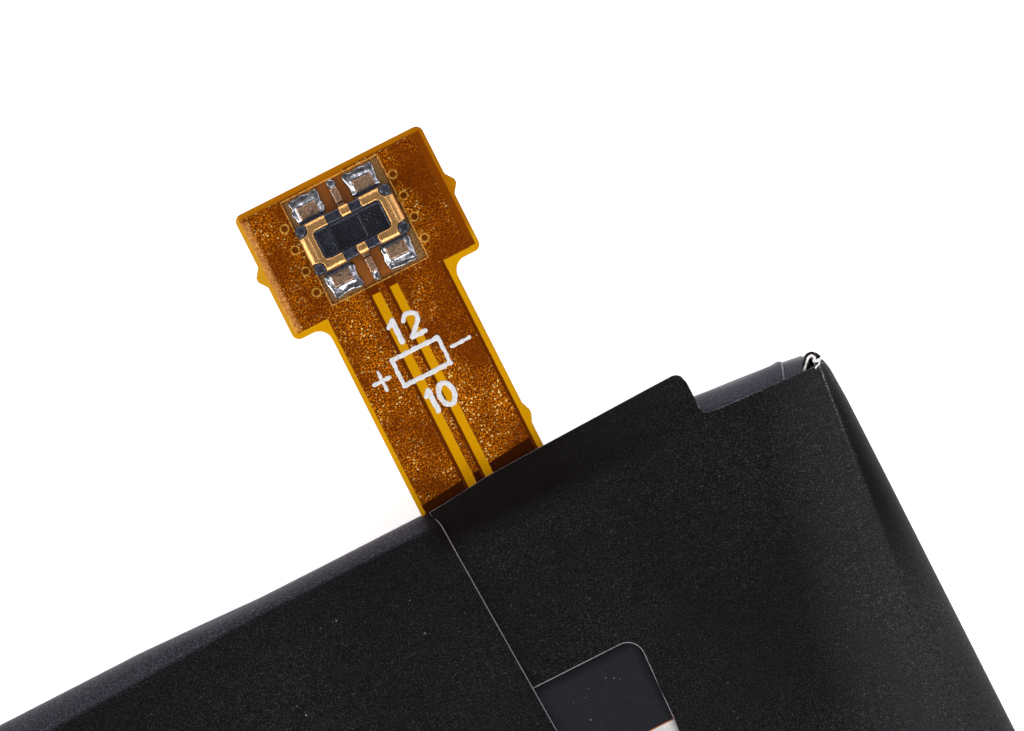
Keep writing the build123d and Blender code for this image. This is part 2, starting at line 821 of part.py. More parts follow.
def solder_fillet(x, width, foot_width, reach, side_sign):
    """Solder drawn up round one contact foot."""
    start_y = wall_outer + solder_start
    solder_plane = Plane(origin=(x, contact_y, pad_z), x_dir=(side_sign, 0, 0), z_dir=(0, 0, 1))
    with BuildPart() as joint:
        with BuildSketch(solder_plane):
            with Locations((0, start_y)):
                Rectangle(width, solder_length, align=(Align.CENTER, Align.MIN))
        with BuildSketch(solder_plane.offset(solder_height)):
            with Locations((0, start_y)):
                Rectangle(
                    foot_width + 2 * solder_shoulder,
                    wall_outer + reach + solder_shoulder - start_y,
                    align=(Align.CENTER, Align.MIN),
                )
        loft(ruled=True)
    return joint.part


with BuildPart() as solder_joints:
    for side_sign in (1, -1):
        for hand in (1, -1):
            add(
                solder_fillet(
                    contact_x + hand * power_arm_offset,
                    power_solder_width,
                    power_arm_width,
                    power_reach,
                    side_sign,
                )
            )
        add(
            solder_fillet(
                contact_x + signal_offset,
                signal_solder_width,
                signal_leg_width - 2 * solder_shoulder,
                signal_reach,
                side_sign,
            )
        )
    for contact_part in contacts.values():
        add(contact_part, mode=Mode.SUBTRACT)
solder_joints.part.label = "solder_joints"
export_step(solder_joints.part, "parts/solder_joints.step")
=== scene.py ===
import math

import bmesh
import bpy
import numpy as np
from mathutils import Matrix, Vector


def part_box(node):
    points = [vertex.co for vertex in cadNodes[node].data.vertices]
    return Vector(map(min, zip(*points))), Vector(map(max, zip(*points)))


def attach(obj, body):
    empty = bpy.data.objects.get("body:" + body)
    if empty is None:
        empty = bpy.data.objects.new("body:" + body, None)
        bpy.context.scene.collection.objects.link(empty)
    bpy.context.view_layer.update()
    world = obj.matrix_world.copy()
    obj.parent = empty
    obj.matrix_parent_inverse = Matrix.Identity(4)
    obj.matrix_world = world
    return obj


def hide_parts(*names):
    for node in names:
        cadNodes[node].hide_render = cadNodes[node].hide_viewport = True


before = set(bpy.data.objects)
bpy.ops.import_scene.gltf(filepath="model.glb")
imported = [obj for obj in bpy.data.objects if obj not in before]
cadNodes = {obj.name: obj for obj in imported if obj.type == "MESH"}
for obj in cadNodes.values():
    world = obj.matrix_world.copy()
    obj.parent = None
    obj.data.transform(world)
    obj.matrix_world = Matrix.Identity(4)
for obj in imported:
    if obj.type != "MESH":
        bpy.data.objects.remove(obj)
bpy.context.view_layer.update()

mm = 0.001
root = "root"
print("frame loaded:", len(cadNodes), "nodes")


def boxMm(name):
    low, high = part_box(name)
    return np.array(low) / mm, np.array(high) / mm


# places shared by the pieces, in millimetres
housingLow, housingHigh = boxMm("connector_housing")
coverLow, coverHigh = boxMm("front_coverlay")
filmLow, filmHigh = boxMm("wrap_film")
connectorSpot = (housingLow + housingHigh)[:2] / 2
flexSpot = connectorSpot + (0.095, -2.47)  # tail's centreline, at the head's lower edge
flexX, headY = flexSpot
packHalf = filmHigh[0]
packEnd = headY - 7.0  # the pack's tail end, 7 mm before the head
footEnd = filmLow[1] + 0.1
padLevel = coverLow[2]
coverTop = coverHigh[2]


# mesh helpers
def linkPiece(name, data):
    piece = bpy.data.objects.new(name, data)
    bpy.context.scene.collection.objects.link(piece)
    return piece


def makePiece(name, points, faces, slots=None):
    mesh = bpy.data.meshes.new(name)
    mesh.from_pydata((np.asarray(points) * mm).tolist(), [], [list(map(int, f)) for f in faces])
    mesh.polygons.foreach_set("use_smooth", [True] * len(mesh.polygons))
    if slots is not None:
        mesh.polygons.foreach_set("material_index", list(map(int, slots)))
    mesh.update()
    return linkPiece(name, mesh)


def bakeModifiers(piece):
    graph = bpy.context.evaluated_depsgraph_get()
    mesh = bpy.data.meshes.new_from_object(piece.evaluated_get(graph))
    piece.modifiers.clear()
    old = piece.data
    piece.data = mesh
    bpy.data.meshes.remove(old)


def finishPiece(piece, materials, replaced=()):
    # clearing the materials also clears the faces' slots, so they are set again
    slots = np.zeros(len(piece.data.polygons), dtype=np.int32)
    piece.data.polygons.foreach_get("material_index", slots)
    piece.data.materials.clear()
    for material in materials:
        piece.data.materials.append(material)
    piece.data.polygons.foreach_set("material_index", slots)
    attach(piece, root)
    if replaced:
        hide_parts(*replaced)


def ripple(x, y, seed, size, count=7):
    # smooth random waves of about unit height
    random = np.random.default_rng(seed)
    total = np.zeros(np.shape(x))
    for _ in range(count):
        angle = random.uniform(0, 2 * math.pi)
        pace = 2 * math.pi / (size * random.uniform(0.7, 1.6))
        phase = random.uniform(0, 2 * math.pi)
        total = total + np.sin(pace * (x * math.cos(angle) + y * math.sin(angle)) + phase)
    return total / count ** 0.5


def rippleAt(places, seed, size):
    return ripple(places[:, 0], places[:, 1], seed, size)


def smoothStep(value):
    value = np.clip(value, 0, 1)
    return value * value * (3 - 2 * value)


def outlineOf(name, level):
    # the edges round a flat node's top face, as pairs of points
    build = bmesh.new()
    build.from_mesh(cadNodes[name].data)
    bmesh.ops.remove_doubles(build, verts=build.verts, dist=1e-7)
    edges = []
    for edge in build.edges:
        flat = [
            abs(f.normal.z) > 0.9 and abs(f.calc_center_median().z / mm - level) < 0.002
            for f in edge.link_faces
        ]
        if any(flat) and not all(flat):
            edges.append([(v.co.x / mm, v.co.y / mm) for v in edge.verts])
    build.free()
    return np.array(edges)


def edgeDistance(places, edges):
    # signed distance to a closed outline, negative inside
    start, run = edges[:, 0], edges[:, 1] - edges[:, 0]
    best = np.full(len(places), 1e9)
    crossings = np.zeros(len(places), int)
    for (sx, sy), (rx, ry) in zip(start, run):
        px, py = places[:, 0] - sx, places[:, 1] - sy
        along = np.clip((px * rx + py * ry) / max(rx * rx + ry * ry, 1e-12), 0, 1)
        best = np.minimum(best, np.hypot(px - along * rx, py - along * ry))
        if ry:
            part = py / ry
            crossings += (((py >= 0) != (py - ry >= 0)) & (part * rx > px)).astype(int)
    return np.where(crossings % 2 == 1, -best, best)


def strokeDistance(places, strokes):
    # strokes are lists of points with one half width each
    best = np.full(len(places), 1e9)
    for points, half in strokes:
        points = np.array(points, float)
        for a, b in zip(points[:-1], points[1:]):
            run = b - a
            along = np.clip(((places - a) @ run) / max(run @ run, 1e-12), 0, 1)
            best = np.minimum(best, np.linalg.norm(places - a - along[:, None] * run, axis=1) - half)
    return best


def roundBox(places, low, high, radius=0.0):
    # signed distance to a rectangle with rounded corners
    centre, half = (np.array(low) + high) / 2, (np.array(high) - low) / 2
    away = np.abs(places - centre) - half + radius
    return np.linalg.norm(np.maximum(away, 0), axis=1) + np.minimum(away.max(1), 0) - radius


def rollOff(depth, radius):
    # how far a rounded edge lies below its face, at a depth inside the edge
    share = np.clip(1 - depth / radius, 0, 1)
    return radius * (1 - np.sqrt(1 - share ** 2))


def closeSheet(top, faces, under):
    # a sheet's underside and its cut edge
    count = len(top)
    faces = [tuple(f) for f in faces]
    used = {}
    for face in faces:
        for a, b in zip(face, face[1:] + face[:1]):
            used[(a, b)] = used.get((a, b), 0) + 1
    rims = [(a, b) for a, b in used if (b, a) not in used]
    below = [tuple(count + v for v in reversed(face)) for face in faces]
    sides = [(b, a, a + count, b + count) for a, b in rims]
    slots = [0] * (2 * len(faces)) + [1] * len(sides)
    return np.vstack([top, under]), faces + below + sides, slots


def cutSheet(name, distance, low, high, step, height, thickness=None, base=None):
    # a fine grid cut to an outline, its rim moved onto the outline; flat underneath where it has a base
    xs = np.arange(low[0] - step, high[0] + step, step)
    ys = np.arange(low[1] - step, high[1] + step, step)
    gridX, gridY = np.meshgrid(xs, ys, indexing="ij")
    places = np.stack([gridX.ravel(), gridY.ravel()], 1)
    gap = distance(places).reshape(gridX.shape)
    inside = (gap[:-1, :-1] + gap[1:, :-1] + gap[1:, 1:] + gap[:-1, 1:]) < 0
    number = np.arange(gridX.size).reshape(gridX.shape)
    faces = np.stack([number[:-1, :-1], number[1:, :-1], number[1:, 1:], number[:-1, 1:]], -1)
    kept = faces[inside]
    rim = np.intersect1d(np.unique(kept), np.unique(faces[~inside]))
    for _ in range(3):
        edge = places[rim]
        here = distance(edge)
        nudge = 0.2 * step
        slopeX = (distance(edge + (nudge, 0)) - distance(edge - (nudge, 0))) / (2 * nudge)
        slopeY = (distance(edge + (0, nudge)) - distance(edge - (0, nudge))) / (2 * nudge)
        slope = np.stack([slopeX, slopeY], 1)
        size = np.maximum((slope ** 2).sum(1), 0.2)
        places[rim] = edge - slope * (here / size)[:, None]
    places = np.clip(places, low, high)
    used = np.unique(kept)
    fresh = np.full(gridX.size, -1)
    fresh[used] = np.arange(len(used))
    spots = places[used]
    top = np.column_stack([spots, height(spots)])
    level = top[:, 2] - thickness if base is None else np.full(len(spots), base)
    points, closed, slots = closeSheet(top, fresh[kept], np.column_stack([spots, level]))
    return makePiece(name, points, closed, slots)


# shader helpers
def add(tree, kind, inputs=None, **settings):
    made = tree.nodes.new("ShaderNode" + kind)
    for name, value in settings.items():
        setattr(made, name, value)
    return connect(tree, made, inputs or {})


def connect(tree, made, inputs):
    for name, value in inputs.items():
        if isinstance(value, bpy.types.NodeSocket):
            tree.links.new(value, made.inputs[name])
        else:
            made.inputs[name].default_value = value
    return made


def calc(tree, operation, *values, clamp=False):
    return add(tree, "Math", dict(enumerate(values)), operation=operation, use_clamp=clamp).outputs[0]


def times(tree, value, *factors, clamp=False):
    for factor in factors:
        value = calc(tree, "MULTIPLY", value, factor, clamp=clamp)
    return value


def minus(tree, first, second, clamp=False):
    return calc(tree, "SUBTRACT", first, second, clamp=clamp)


def scaled(tree, value, factor, base, clamp=False):
    return calc(tree, "MULTIPLY_ADD", value, factor, base, clamp=clamp)


def closeTo(tree, offset, sharpness):
    # 1 at no offset, falling to 0 on both sides
    return minus(tree, 1, times(tree, calc(tree, "ABSOLUTE", offset), sharpness), clamp=True)


def remap(tree, value, start, end, first=0.0, last=1.0):
    return add(tree, "MapRange", {
        "Value": value, "From Min": start, "From Max": end, "To Min": first, "To Max": last,
    }).outputs[0]


def blendColours(tree, factor, first, second, mode="MIX"):
    made = add(tree, "Mix", {0: factor, 6: first, 7: second}, data_type="RGBA", blend_type=mode)
    return made.outputs[2]


def layerColours(tree, colour, layers):
    # a layer is its mask and its colour, the last on top
    for mask, over in layers:
        colour = blendColours(tree, mask, colour, over)
    return colour


def rgba(red, green, blue):
    # a colour as it looks on the screen, 0 to 255, for a shader
    def linear(value):
        value = value / 255
        return value / 12.92 if value <= 0.04045 else ((value + 0.055) / 1.055) ** 2.4
    return (linear(red), linear(green), linear(blue), 1)


def colourRamp(tree, value, stops):
    made = add(tree, "ValToRGB", {"Fac": value})
    ramp = made.color_ramp
    while len(ramp.elements) < len(stops):
        ramp.elements.new(0.5)
    for element, (place, colour) in zip(ramp.elements, stops):
        element.position = place
        element.color = colour
    return made.outputs["Color"]


def newGroup(name, inputs, outputs):
    # every group takes a place and some values
    tree = bpy.data.node_groups.new(name, "ShaderNodeTree")
    tree.interface.new_socket("Place", in_out="INPUT", socket_type="NodeSocketVector")
    for label, default in inputs.items():
        socket = tree.interface.new_socket(label, in_out="INPUT", socket_type="NodeSocketFloat")
        socket.default_value = default
    for label in outputs:
        tree.interface.new_socket(label, in_out="OUTPUT", socket_type="NodeSocketFloat")
    start = tree.nodes.new("NodeGroupInput")
    end = tree.nodes.new("NodeGroupOutput")
    return tree, start.outputs, lambda label, socket: tree.links.new(socket, end.inputs[label])


def useGroup(tree, group, place, **values):
    made = tree.nodes.new("ShaderNodeGroup")
    made.node_tree = group
    return connect(tree, made, {"Place": place, **values}).outputs


def placeMm(tree, origin=(0, 0, 0)):
    # object coordinates in millimetres from an origin
    here = add(tree, "TexCoord").outputs["Object"]
    scaledUp = add(tree, "VectorMath", {0: here, "Scale": 1000}, operation="SCALE").outputs[0]
    return add(tree, "VectorMath", {0: scaledUp, 1: tuple(origin)}, operation="SUBTRACT").outputs[0]


def acrossAlong(tree, place):
    apart = add(tree, "SeparateXYZ", {"Vector": place}).outputs
    return apart[0], apart[1]


def makeGrainGroup():
    # fine pebbled grain: a mask of its high spots and a height for bump
    inputs = {"Size": 0.1, "Contrast": 0.2, "Level": 0.5}
    tree, given, give = newGroup("surfaceGrain", inputs, ["Mask", "Height"])
    scale = calc(tree, "DIVIDE", 1, given["Size"])
    noise = add(tree, "TexNoise", {"Vector": given["Place"], "Scale": scale, "Detail": 3, "Roughness": 0.6})
    low = minus(tree, given["Level"], given["Contrast"])
    high = calc(tree, "ADD", given["Level"], given["Contrast"])
    give("Mask", remap(tree, noise.outputs["Fac"], low, high))
    give("Height", noise.outputs["Fac"])
    return tree


def makeSpeckGroup():
    # scattered specks, such as dust or glints: a few of the cells hold one
    inputs = {"Spacing": 0.5, "Size": 0.03, "Share": 0.3}
    tree, given, give = newGroup("scatteredSpecks", inputs, ["Mask"])
    scale = calc(tree, "DIVIDE", 1, given["Spacing"])
    cells = add(tree, "TexVoronoi", {"Vector": given["Place"], "Scale": scale, "Randomness": 1.0})
    apart = add(tree, "SeparateColor", {"Color": cells.outputs["Color"]})
    chosen = calc(tree, "LESS_THAN", apart.outputs[0], given["Share"])
    reach = times(tree, scaled(tree, apart.outputs[1], 0.8, 0.4), given["Size"])
    gap = times(tree, cells.outputs["Distance"], given["Spacing"])
    near = minus(tree, 1, calc(tree, "DIVIDE", gap, reach), clamp=True)
    give("Mask", times(tree, times(tree, near, 3, clamp=True), chosen))
    return tree


def makeRectGroup():
    # a rectangle in plan, with a soft or sharp edge
    inputs = {"Low X": 0, "High X": 1, "Low Y": 0, "High Y": 1, "Blur": 0.02}
    tree, given, give = newGroup("planRectangle", inputs, ["Mask"])
    x, y = acrossAlong(tree, given["Place"])
    left, right = minus(tree, x, given["Low X"]), minus(tree, given["High X"], x)
    below, above = minus(tree, y, given["Low Y"]), minus(tree, given["High Y"], y)
    sides = calc(tree, "MINIMUM", left, right)
    inner = calc(tree, "MINIMUM", sides, calc(tree, "MINIMUM", below, above))
    give("Mask", scaled(tree, calc(tree, "DIVIDE", inner, given["Blur"]), 1, 0.5, clamp=True))
    return tree


def makeDriftGroup():
    # broad soft change of tone over a surface
    inputs = {"Size": 5.0, "Low": 0.8, "High": 1.2}
    tree, given, give = newGroup("toneDrift", inputs, ["Factor"])
    scale = calc(tree, "DIVIDE", 1, given["Size"])
    noise = add(tree, "TexNoise", {"Vector": given["Place"], "Scale": scale, "Detail": 2, "Roughness": 0.5})
    give("Factor", remap(tree, noise.outputs["Fac"], 0.3, 0.7, given["Low"], given["High"]))
    return tree


grainGroup = makeGrainGroup()
speckGroup = makeSpeckGroup()
rectGroup = makeRectGroup()
driftGroup = makeDriftGroup()


def grainAt(tree, place, size, contrast, level=0.5):
    return useGroup(tree, grainGroup, place, Size=size, Contrast=contrast, Level=level)


def specksAt(tree, place, spacing, size, share):
    return useGroup(tree, speckGroup, place, Spacing=spacing, Size=size, Share=share)["Mask"]


def driftAt(tree, place, size, low, high):
    return useGroup(tree, driftGroup, place, Size=size, Low=low, High=high)["Factor"]


def areaMask(tree, place, areas, blur):
    # each area is its left, right, low and high side
    total = None
    for area in areas:
        sides = dict(zip(("Low X", "High X", "Low Y", "High Y"), area))
        part = useGroup(tree, rectGroup, place, **sides, Blur=blur)["Mask"]
        total = part if total is None else calc(tree, "MAXIMUM", total, part)
    return total


def newMaterial(name, **fixed):
    material = bpy.data.materials.new(name)
    material.use_nodes = True
    tree = material.node_tree
    shader = tree.nodes["Principled BSDF"]
    for socket, value in fixed.items():
        shader.inputs[socket].default_value = value
    return material, tree, shader


def feed(tree, shader, **sockets):
    for name, socket in sockets.items():
        tree.links.new(socket, shader.inputs[name])


def bumpFrom(tree, shader, height, strength, distance):
    bump = add(tree, "Bump", {"Height": height, "Strength": strength, "Distance": distance * mm})
    tree.links.new(bump.outputs["Normal"], shader.inputs["Normal"])


# the wrapping film: matt black, pebbled, with specks of dust. Specks are given by spacing, size and share,
# a drift by size, low and high, and a sharpness is one over the width of a soft edge, in mm
filmLook = {
    "dark": rgba(10, 10, 11), "light": rgba(32, 31, 32), "sheenRightTone": rgba(60, 58, 61), "wall": rgba(9, 9, 11),
    "glint": rgba(86, 84, 84), "dust": rgba(176, 174, 172), "rolled": rgba(74, 71, 81),
    "rootShade": rgba(9, 5, 3), "bareEdgeHighlight": rgba(138, 134, 138),
    "cutEdgeLit": rgba(152, 143, 152), "cutEdgeLitDim": rgba(96, 90, 97),
    "specular": 0.055, "grainSize": 0.055, "fineSize": 0.042, "grainBump": 0.03,
    "glints": (0.24, 0.032, 0.4), "dustSpecks": (0.8, 0.03, 0.26), "drift": (5, 0.6, 1.15),
    "glintShare": 0.68, "dustShare": 0.6, "sheenRightShare": 0.6, "wallShadeShare": 0.8, "rootShadeShare": 0.86,
    "sheenRightLean": -0.25, "sheenRightSpan": (16.4, 19.9), "wallStart": 30.5,
    "creaseFoot": (28.2, 35.8), "creaseLean": 0.117, "creaseSharpness": 22, "wallSharpness": 7,
    "bandEdge": -2.3, "bandSpan": (-16.5, -9.0, 0.86, 0.58), "bandSharpness": 7,
    "rootSpan": (2.4, 7.6), "bareSlant": 0.055, "bareEdge": -8.365, "bareStart": 7.9, "bareSharpness": 34,
}


def makeFilmMaterial():
    look = filmLook
    material, tree, shader = newMaterial("filmBlack", **{"Specular IOR Level": look["specular"]})
    place = placeMm(tree)
    x, y = acrossAlong(tree, place)
    pebbles = grainAt(tree, place, look["grainSize"], 0.07, 0.55)
    grain = pebbles["Mask"]
    fine = grainAt(tree, place, look["fineSize"], 0.05, 0.6)["Mask"]
    # the grain shows a little less on the flap, and more towards the right side, where a painted sheen also
    # makes the film paler
    flat = remap(tree, y, packEnd - 2.6, packEnd - 1.2, 1.0, 0.9)
    sheenRight = remap(tree, scaled(tree, y, look["sheenRightLean"], x), *look["sheenRightSpan"])
    drift = driftAt(tree, place, *look["drift"])
    strength = times(tree, drift, flat, calc(tree, "ADD", sheenRight, 1.0))
    dark = blendColours(tree, times(tree, sheenRight, look["sheenRightShare"]), look["dark"], look["sheenRightTone"])
    colour = blendColours(tree, times(tree, grain, strength), dark, look["light"])
    # a painted sheen where it rolls over the closed end, in a band that widens to the left
    start, end, wide, narrow = look["bandSpan"]
    band = remap(tree, x, flexX + start, flexX + end, wide, narrow)
    inBand = calc(tree, "ADD", minus(tree, y, packEnd), band)
    inBand = scaled(tree, inBand, look["bandSharpness"], 0.5, clamp=True)
    left = scaled(tree, minus(tree, flexX + look["bandEdge"], x), look["bandSharpness"], 0.5, clamp=True)
    rolled = times(tree, times(tree, inBand, left), scaled(tree, grain, 0.7, 0.3), clamp=True)
    specks = calc(tree, "MAXIMUM", specksAt(tree, place, *look["glints"]), times(tree, fine, 0.75))
    glints = times(tree, times(tree, specks, strength), look["glintShare"], clamp=True)
    # painted shade on the side wall past the crease
    footX, footY = look["creaseFoot"]
    creaseX = scaled(tree, y, look["creaseLean"], footX - footY * look["creaseLean"])
    offCrease = minus(tree, x, creaseX)
    pastCrease = times(tree, offCrease, look["wallSharpness"], clamp=True)
    alongWall = times(tree, minus(tree, y, look["wallStart"]), 0.25, clamp=True)
    wall = times(tree, pastCrease, alongWall, look["wallShadeShare"])
    # smooth, with painted shade tinted by a painted warm reflection of the tail where it comes down on the
    # tail
    root = areaMask(tree, place, [(flexX - 2.4, flexX + 9, packEnd - 1.5, packEnd + 2)], 0.7)
    start, end = look["rootSpan"]
    root = times(tree, root, remap(tree, x, flexX + start, flexX + end, 1.0, 0.0), look["rootShadeShare"])
    # a painted highlight flecks the crease near its top
    nearTop = times(tree, minus(tree, y, footY), 0.3, clamp=True)
    creaseGlint = times(tree, closeTo(tree, offCrease, look["creaseSharpness"]), nearTop, grain)
    # a painted highlight along its cut edge over the end tape, broken up by the grain
    level = scaled(tree, x, look["bareSlant"], y)
    bareLevel = headY + look["bareEdge"] + look["bareSlant"] * (flexX + 8.5)
    nearBare = closeTo(tree, minus(tree, level, bareLevel), look["bareSharpness"])
    pastFlap = times(tree, minus(tree, x, flexX + look["bareStart"]), 3, clamp=True)
    bare = times(tree, nearBare, pastFlap, scaled(tree, grain, 0.7, 0.2))
    dust = times(tree, specksAt(tree, place, *look["dustSpecks"]), look["dustShare"])
    # the crease's painted highlight takes the dust colour
    colour = layerColours(tree, colour, [
        (rolled, look["rolled"]), (glints, look["glint"]), (wall, look["wall"]), (root, look["rootShade"]),
        (creaseGlint, look["dust"]), (bare, look["bareEdgeHighlight"]), (dust, look["dust"]),
    ])
    feed(tree, shader, **{"Base Color": colour, "Roughness": scaled(tree, grain, -0.14, 0.56)})
    bumpFrom(tree, shader, pebbles["Height"], 1.0, look["grainBump"])
    return material


def makeCutEdgeHighlight():
    # the cut edges of the film and the tape, painted light grey as their highlight and broken up by the
    # grain
    material, tree, shader = newMaterial("cutEdgeHighlight", Roughness=0.5)
    nicks = grainAt(tree, placeMm(tree), 0.12, 0.25)["Mask"]
    colour = blendColours(tree, nicks, filmLook["cutEdgeLitDim"], filmLook["cutEdgeLit"])
    feed(tree, shader, **{"Base Color": colour})
    return material


# tail: amber cover film over two copper layers
tailLook = {
    "yellow": rgba(211, 149, 1), "amber": rgba(156, 78, 2), "band": rgba(98, 40, 0),
    "headBand": rgba(136, 66, 0), "copperDark": rgba(58, 21, 0), "copper": rgba(119, 52, 0),
    "copperBright": rgba(240, 138, 10), "glint": rgba(255, 226, 140), "bare": rgba(160, 92, 24),
    "bareDark": rgba(136, 72, 12), "lipHighlight": rgba(240, 178, 88), "coreShade": rgba(104, 48, 2),
    "ring": rgba(250, 186, 72), "bevel": rgba(236, 168, 88),
    "specular": 0.06, "shadeLean": 0.1, "shadeEdge": -6.56, "shadeSharpness": 40, "ringSharpness": 22,
    "grainSize": 0.058, "fineSize": 0.045, "glints": (0.12, 0.037, 0.82), "drift": (1.9, -0.6, 1.35),
}
# in the tail's own frame, from its centreline at the head's lower edge: left, right, low, high
copperAreas = [
    (-2.19, -0.63, -9.0, 0.4), (0.44, 2.04, -9.0, 0.4), (-0.20, 0.04, -9.0, 0.6),
    (-3.29, -0.61, 0.2, 4.43), (0.44, 3.12, 0.2, 4.43),
]
backAreas = [
    (-2.08, -0.51, -9.0, 0.4), (0.55, 2.15, -9.0, 0.4), (-0.09, 0.15, -9.0, 0.4),
    (-3.20, -0.51, 0.22, 4.36), (0.55, 3.36, 0.22, 4.45), (-0.7, 0.6, 0.22, 0.7),
]
headAmber = (-3.6, 3.6, 0.9, 4.7)
headRight = (2.9, 3.6, 0.3, 4.6)
lipOuter = (-1.87, 1.77, 0.50, 4.38)
lipInner = (-1.83, 1.73, 0.54, 4.34)
openingArea = (-1.85, 1.75, 0.5, 4.37)
bevelHighlightArea = (-3.4, -3.13, 0.25, 4.3)
viaSpots = {"columns": (-2.11, 1.93), "first": 1.16, "pitch": 0.79, "count": 4, "radius": 0.15}


def viaGap(tree, place):
    # distance to the nearest via's centre
    x, y = acrossAlong(tree, place)
    low, pitch = viaSpots["first"] - viaSpots["pitch"] / 2, viaSpots["pitch"]
    within = minus(tree, calc(tree, "FLOORED_MODULO", minus(tree, y, low), pitch), pitch / 2)
    sides = [calc(tree, "ABSOLUTE", minus(tree, x, column)) for column in viaSpots["columns"]]
    squares = [calc(tree, "POWER", value, 2) for value in (calc(tree, "MINIMUM", *sides), within)]
    gap = calc(tree, "SQRT", calc(tree, "ADD", *squares))
    rows = areaMask(tree, place, [(-9, 9, low, low + viaSpots["count"] * pitch)], 0.01)
    return calc(tree, "ADD", gap, times(tree, minus(tree, 1, rows), 9))


def copperColour(tree, place, rim):
    # rough foil under amber film: sparkling more in some places, and along its rim
    grain = grainAt(tree, place, tailLook["grainSize"], 0.11)
    fine = grainAt(tree, place, tailLook["fineSize"], 0.06, 0.59)["Mask"]
    drift = driftAt(tree, place, *tailLook["drift"])
    calm = calc(tree, "MAXIMUM", scaled(tree, drift, 0.45, 0.45), 0.3)
    level = scaled(tree, minus(tree, grain["Mask"], 0.5), calm, 0.5)
    colour = colourRamp(tree, level, [
        (0.05, tailLook["copperDark"]), (0.6, tailLook["copper"]), (1.0, tailLook["copperBright"]),
    ])
    lively = calc(tree, "MAXIMUM", drift, times(tree, rim, 0.7), clamp=True)
    glints = specksAt(tree, place, *tailLook["glints"])
    colour = layerColours(tree, colour, [
        (times(tree, fine, lively, 0.8), tailLook["copperBright"]),
        (times(tree, glints, lively, 0.9), tailLook["glint"]),
    ])
    return colour, grain["Height"]


def makeCoverMaterial(name, mirrored=False):
    look = tailLook
    material, tree, shader = newMaterial(name, **{"Specular IOR Level": look["specular"]})
    place = placeMm(tree, (*flexSpot, 0))
    # the etched edges wander a little
    wobble = add(tree, "TexNoise", {"Vector": place, "Scale": 9, "Detail": 2})
    shaken = add(tree, "VectorMath", {
        0: wobble.outputs["Color"], 1: (0.03, 0.03, 0.0), 2: (-0.015, -0.015, 0.0),
    }, operation="MULTIPLY_ADD").outputs[0]
    uneven = add(tree, "VectorMath", {0: place, 1: shaken}, operation="ADD").outputs[0]
    front = areaMask(tree, uneven, copperAreas, 0.025)
    back = areaMask(tree, uneven, backAreas, 0.03)
    if mirrored:
        front, back = back, front
    # bare film, and darker bands where only the far copper layer lies under it
    colour = blendColours(tree, areaMask(tree, place, [headAmber], 0.9), look["yellow"], look["amber"])
    onHead = times(tree, areaMask(tree, place, [headRight], 0.4), 0.75)
    band = blendColours(tree, onHead, look["band"], look["headBand"])
    colour = blendColours(tree, back, colour, band)
    colour = blendColours(tree, 1.0, colour, driftAt(tree, place, 2.5, 0.92, 1.06), "MULTIPLY")
    # the near copper layer
    inward = areaMask(tree, uneven, copperAreas, 0.12)
    rim = times(tree, minus(tree, 1, inward), 2, clamp=True)
    copper, height = copperColour(tree, place, rim)
    # the flap shades the copper beside it
    x, y = acrossAlong(tree, uneven)
    level = scaled(tree, x, -look["shadeLean"], y)
    shade = times(tree, minus(tree, look["shadeEdge"], level), look["shadeSharpness"], clamp=True)
    # vias: a dimple with painted shade in its middle and a broken painted highlight on its raised ring
    gap = viaGap(tree, place)
    ring = closeTo(tree, minus(tree, gap, viaSpots["radius"] - 0.01), look["ringSharpness"])
    coreShade = calc(tree, "LESS_THAN", gap, viaSpots["radius"] - 0.045)
    breaks = grainAt(tree, place, 0.16, 0.12)["Mask"]
    broken = times(tree, ring, scaled(tree, breaks, 0.8, 0.2))
    colour = layerColours(tree, colour, [
        (front, copper), (times(tree, shade, front), look["copperDark"]),
        (times(tree, coreShade, front), look["coreShade"]), (times(tree, broken, front), look["ring"]),
    ])
    if not mirrored:
        # painted highlights on the lip round the connector's opening and on the bevel along the head's left
        # edge
        outer, inner = (areaMask(tree, place, [area], 0.02) for area in (lipOuter, lipInner))
        lipHighlight = times(tree, minus(tree, outer, inner, clamp=True), scaled(tree, breaks, 0.6, 0.3))
        grain = grainAt(tree, place, 0.1, 0.15)["Mask"]
        bevel = times(tree, areaMask(tree, place, [bevelHighlightArea], 0.1), scaled(tree, grain, 0.55, 0.15))
        colour = layerColours(tree, colour, [(lipHighlight, look["lipHighlight"]), (bevel, look["bevel"])])
    raised = scaled(tree, times(tree, height, front), 0.6, times(tree, front, 0.8))
    raised = calc(tree, "ADD", raised, times(tree, ring, front, 1.2))
    feed(tree, shader, **{"Base Color": colour, "Roughness": scaled(tree, front, -0.08, 0.42)})
    bumpFrom(tree, shader, raised, 1.0, 0.03)
    return material


def makeBaseMaterial():
    # base film: brown where the opening shows it
    material, tree, shader = newMaterial("baseFilm", Roughness=0.4)
    place = placeMm(tree, (*flexSpot, 0))
    grain = grainAt(tree, place, 0.12, 0.3)
    bare = blendColours(tree, grain["Mask"], tailLook["bareDark"], tailLook["bare"])
    opening = areaMask(tree, place, [openingArea], 0.02)
    feed(tree, shader, **{"Base Color": blendColours(tree, opening, tailLook["yellow"], bare)})
    bumpFrom(tree, shader, grain["Height"], 0.4, 0.01)
    return material


def makeMetalMaterial(name, dark, light, roughness, size=0.07, bump=0.01):
    # plated or bare metal with a fine uneven finish
    material, tree, shader = newMaterial(name, Metallic=1.0)
    place = placeMm(tree)
    grain = grainAt(tree, place, size, 0.25)
    colour = blendColours(tree, grain["Mask"], rgba(*dark), rgba(*light))
    colour = blendColours(tree, 1.0, colour, driftAt(tree, place, size * 9, 0.88, 1.1), "MULTIPLY")
    feed(tree, shader, **{"Base Color": colour, "Roughness": scaled(tree, grain["Mask"], 0.12, roughness)})
    bumpFrom(tree, shader, grain["Height"], 1.0, bump)
    return material


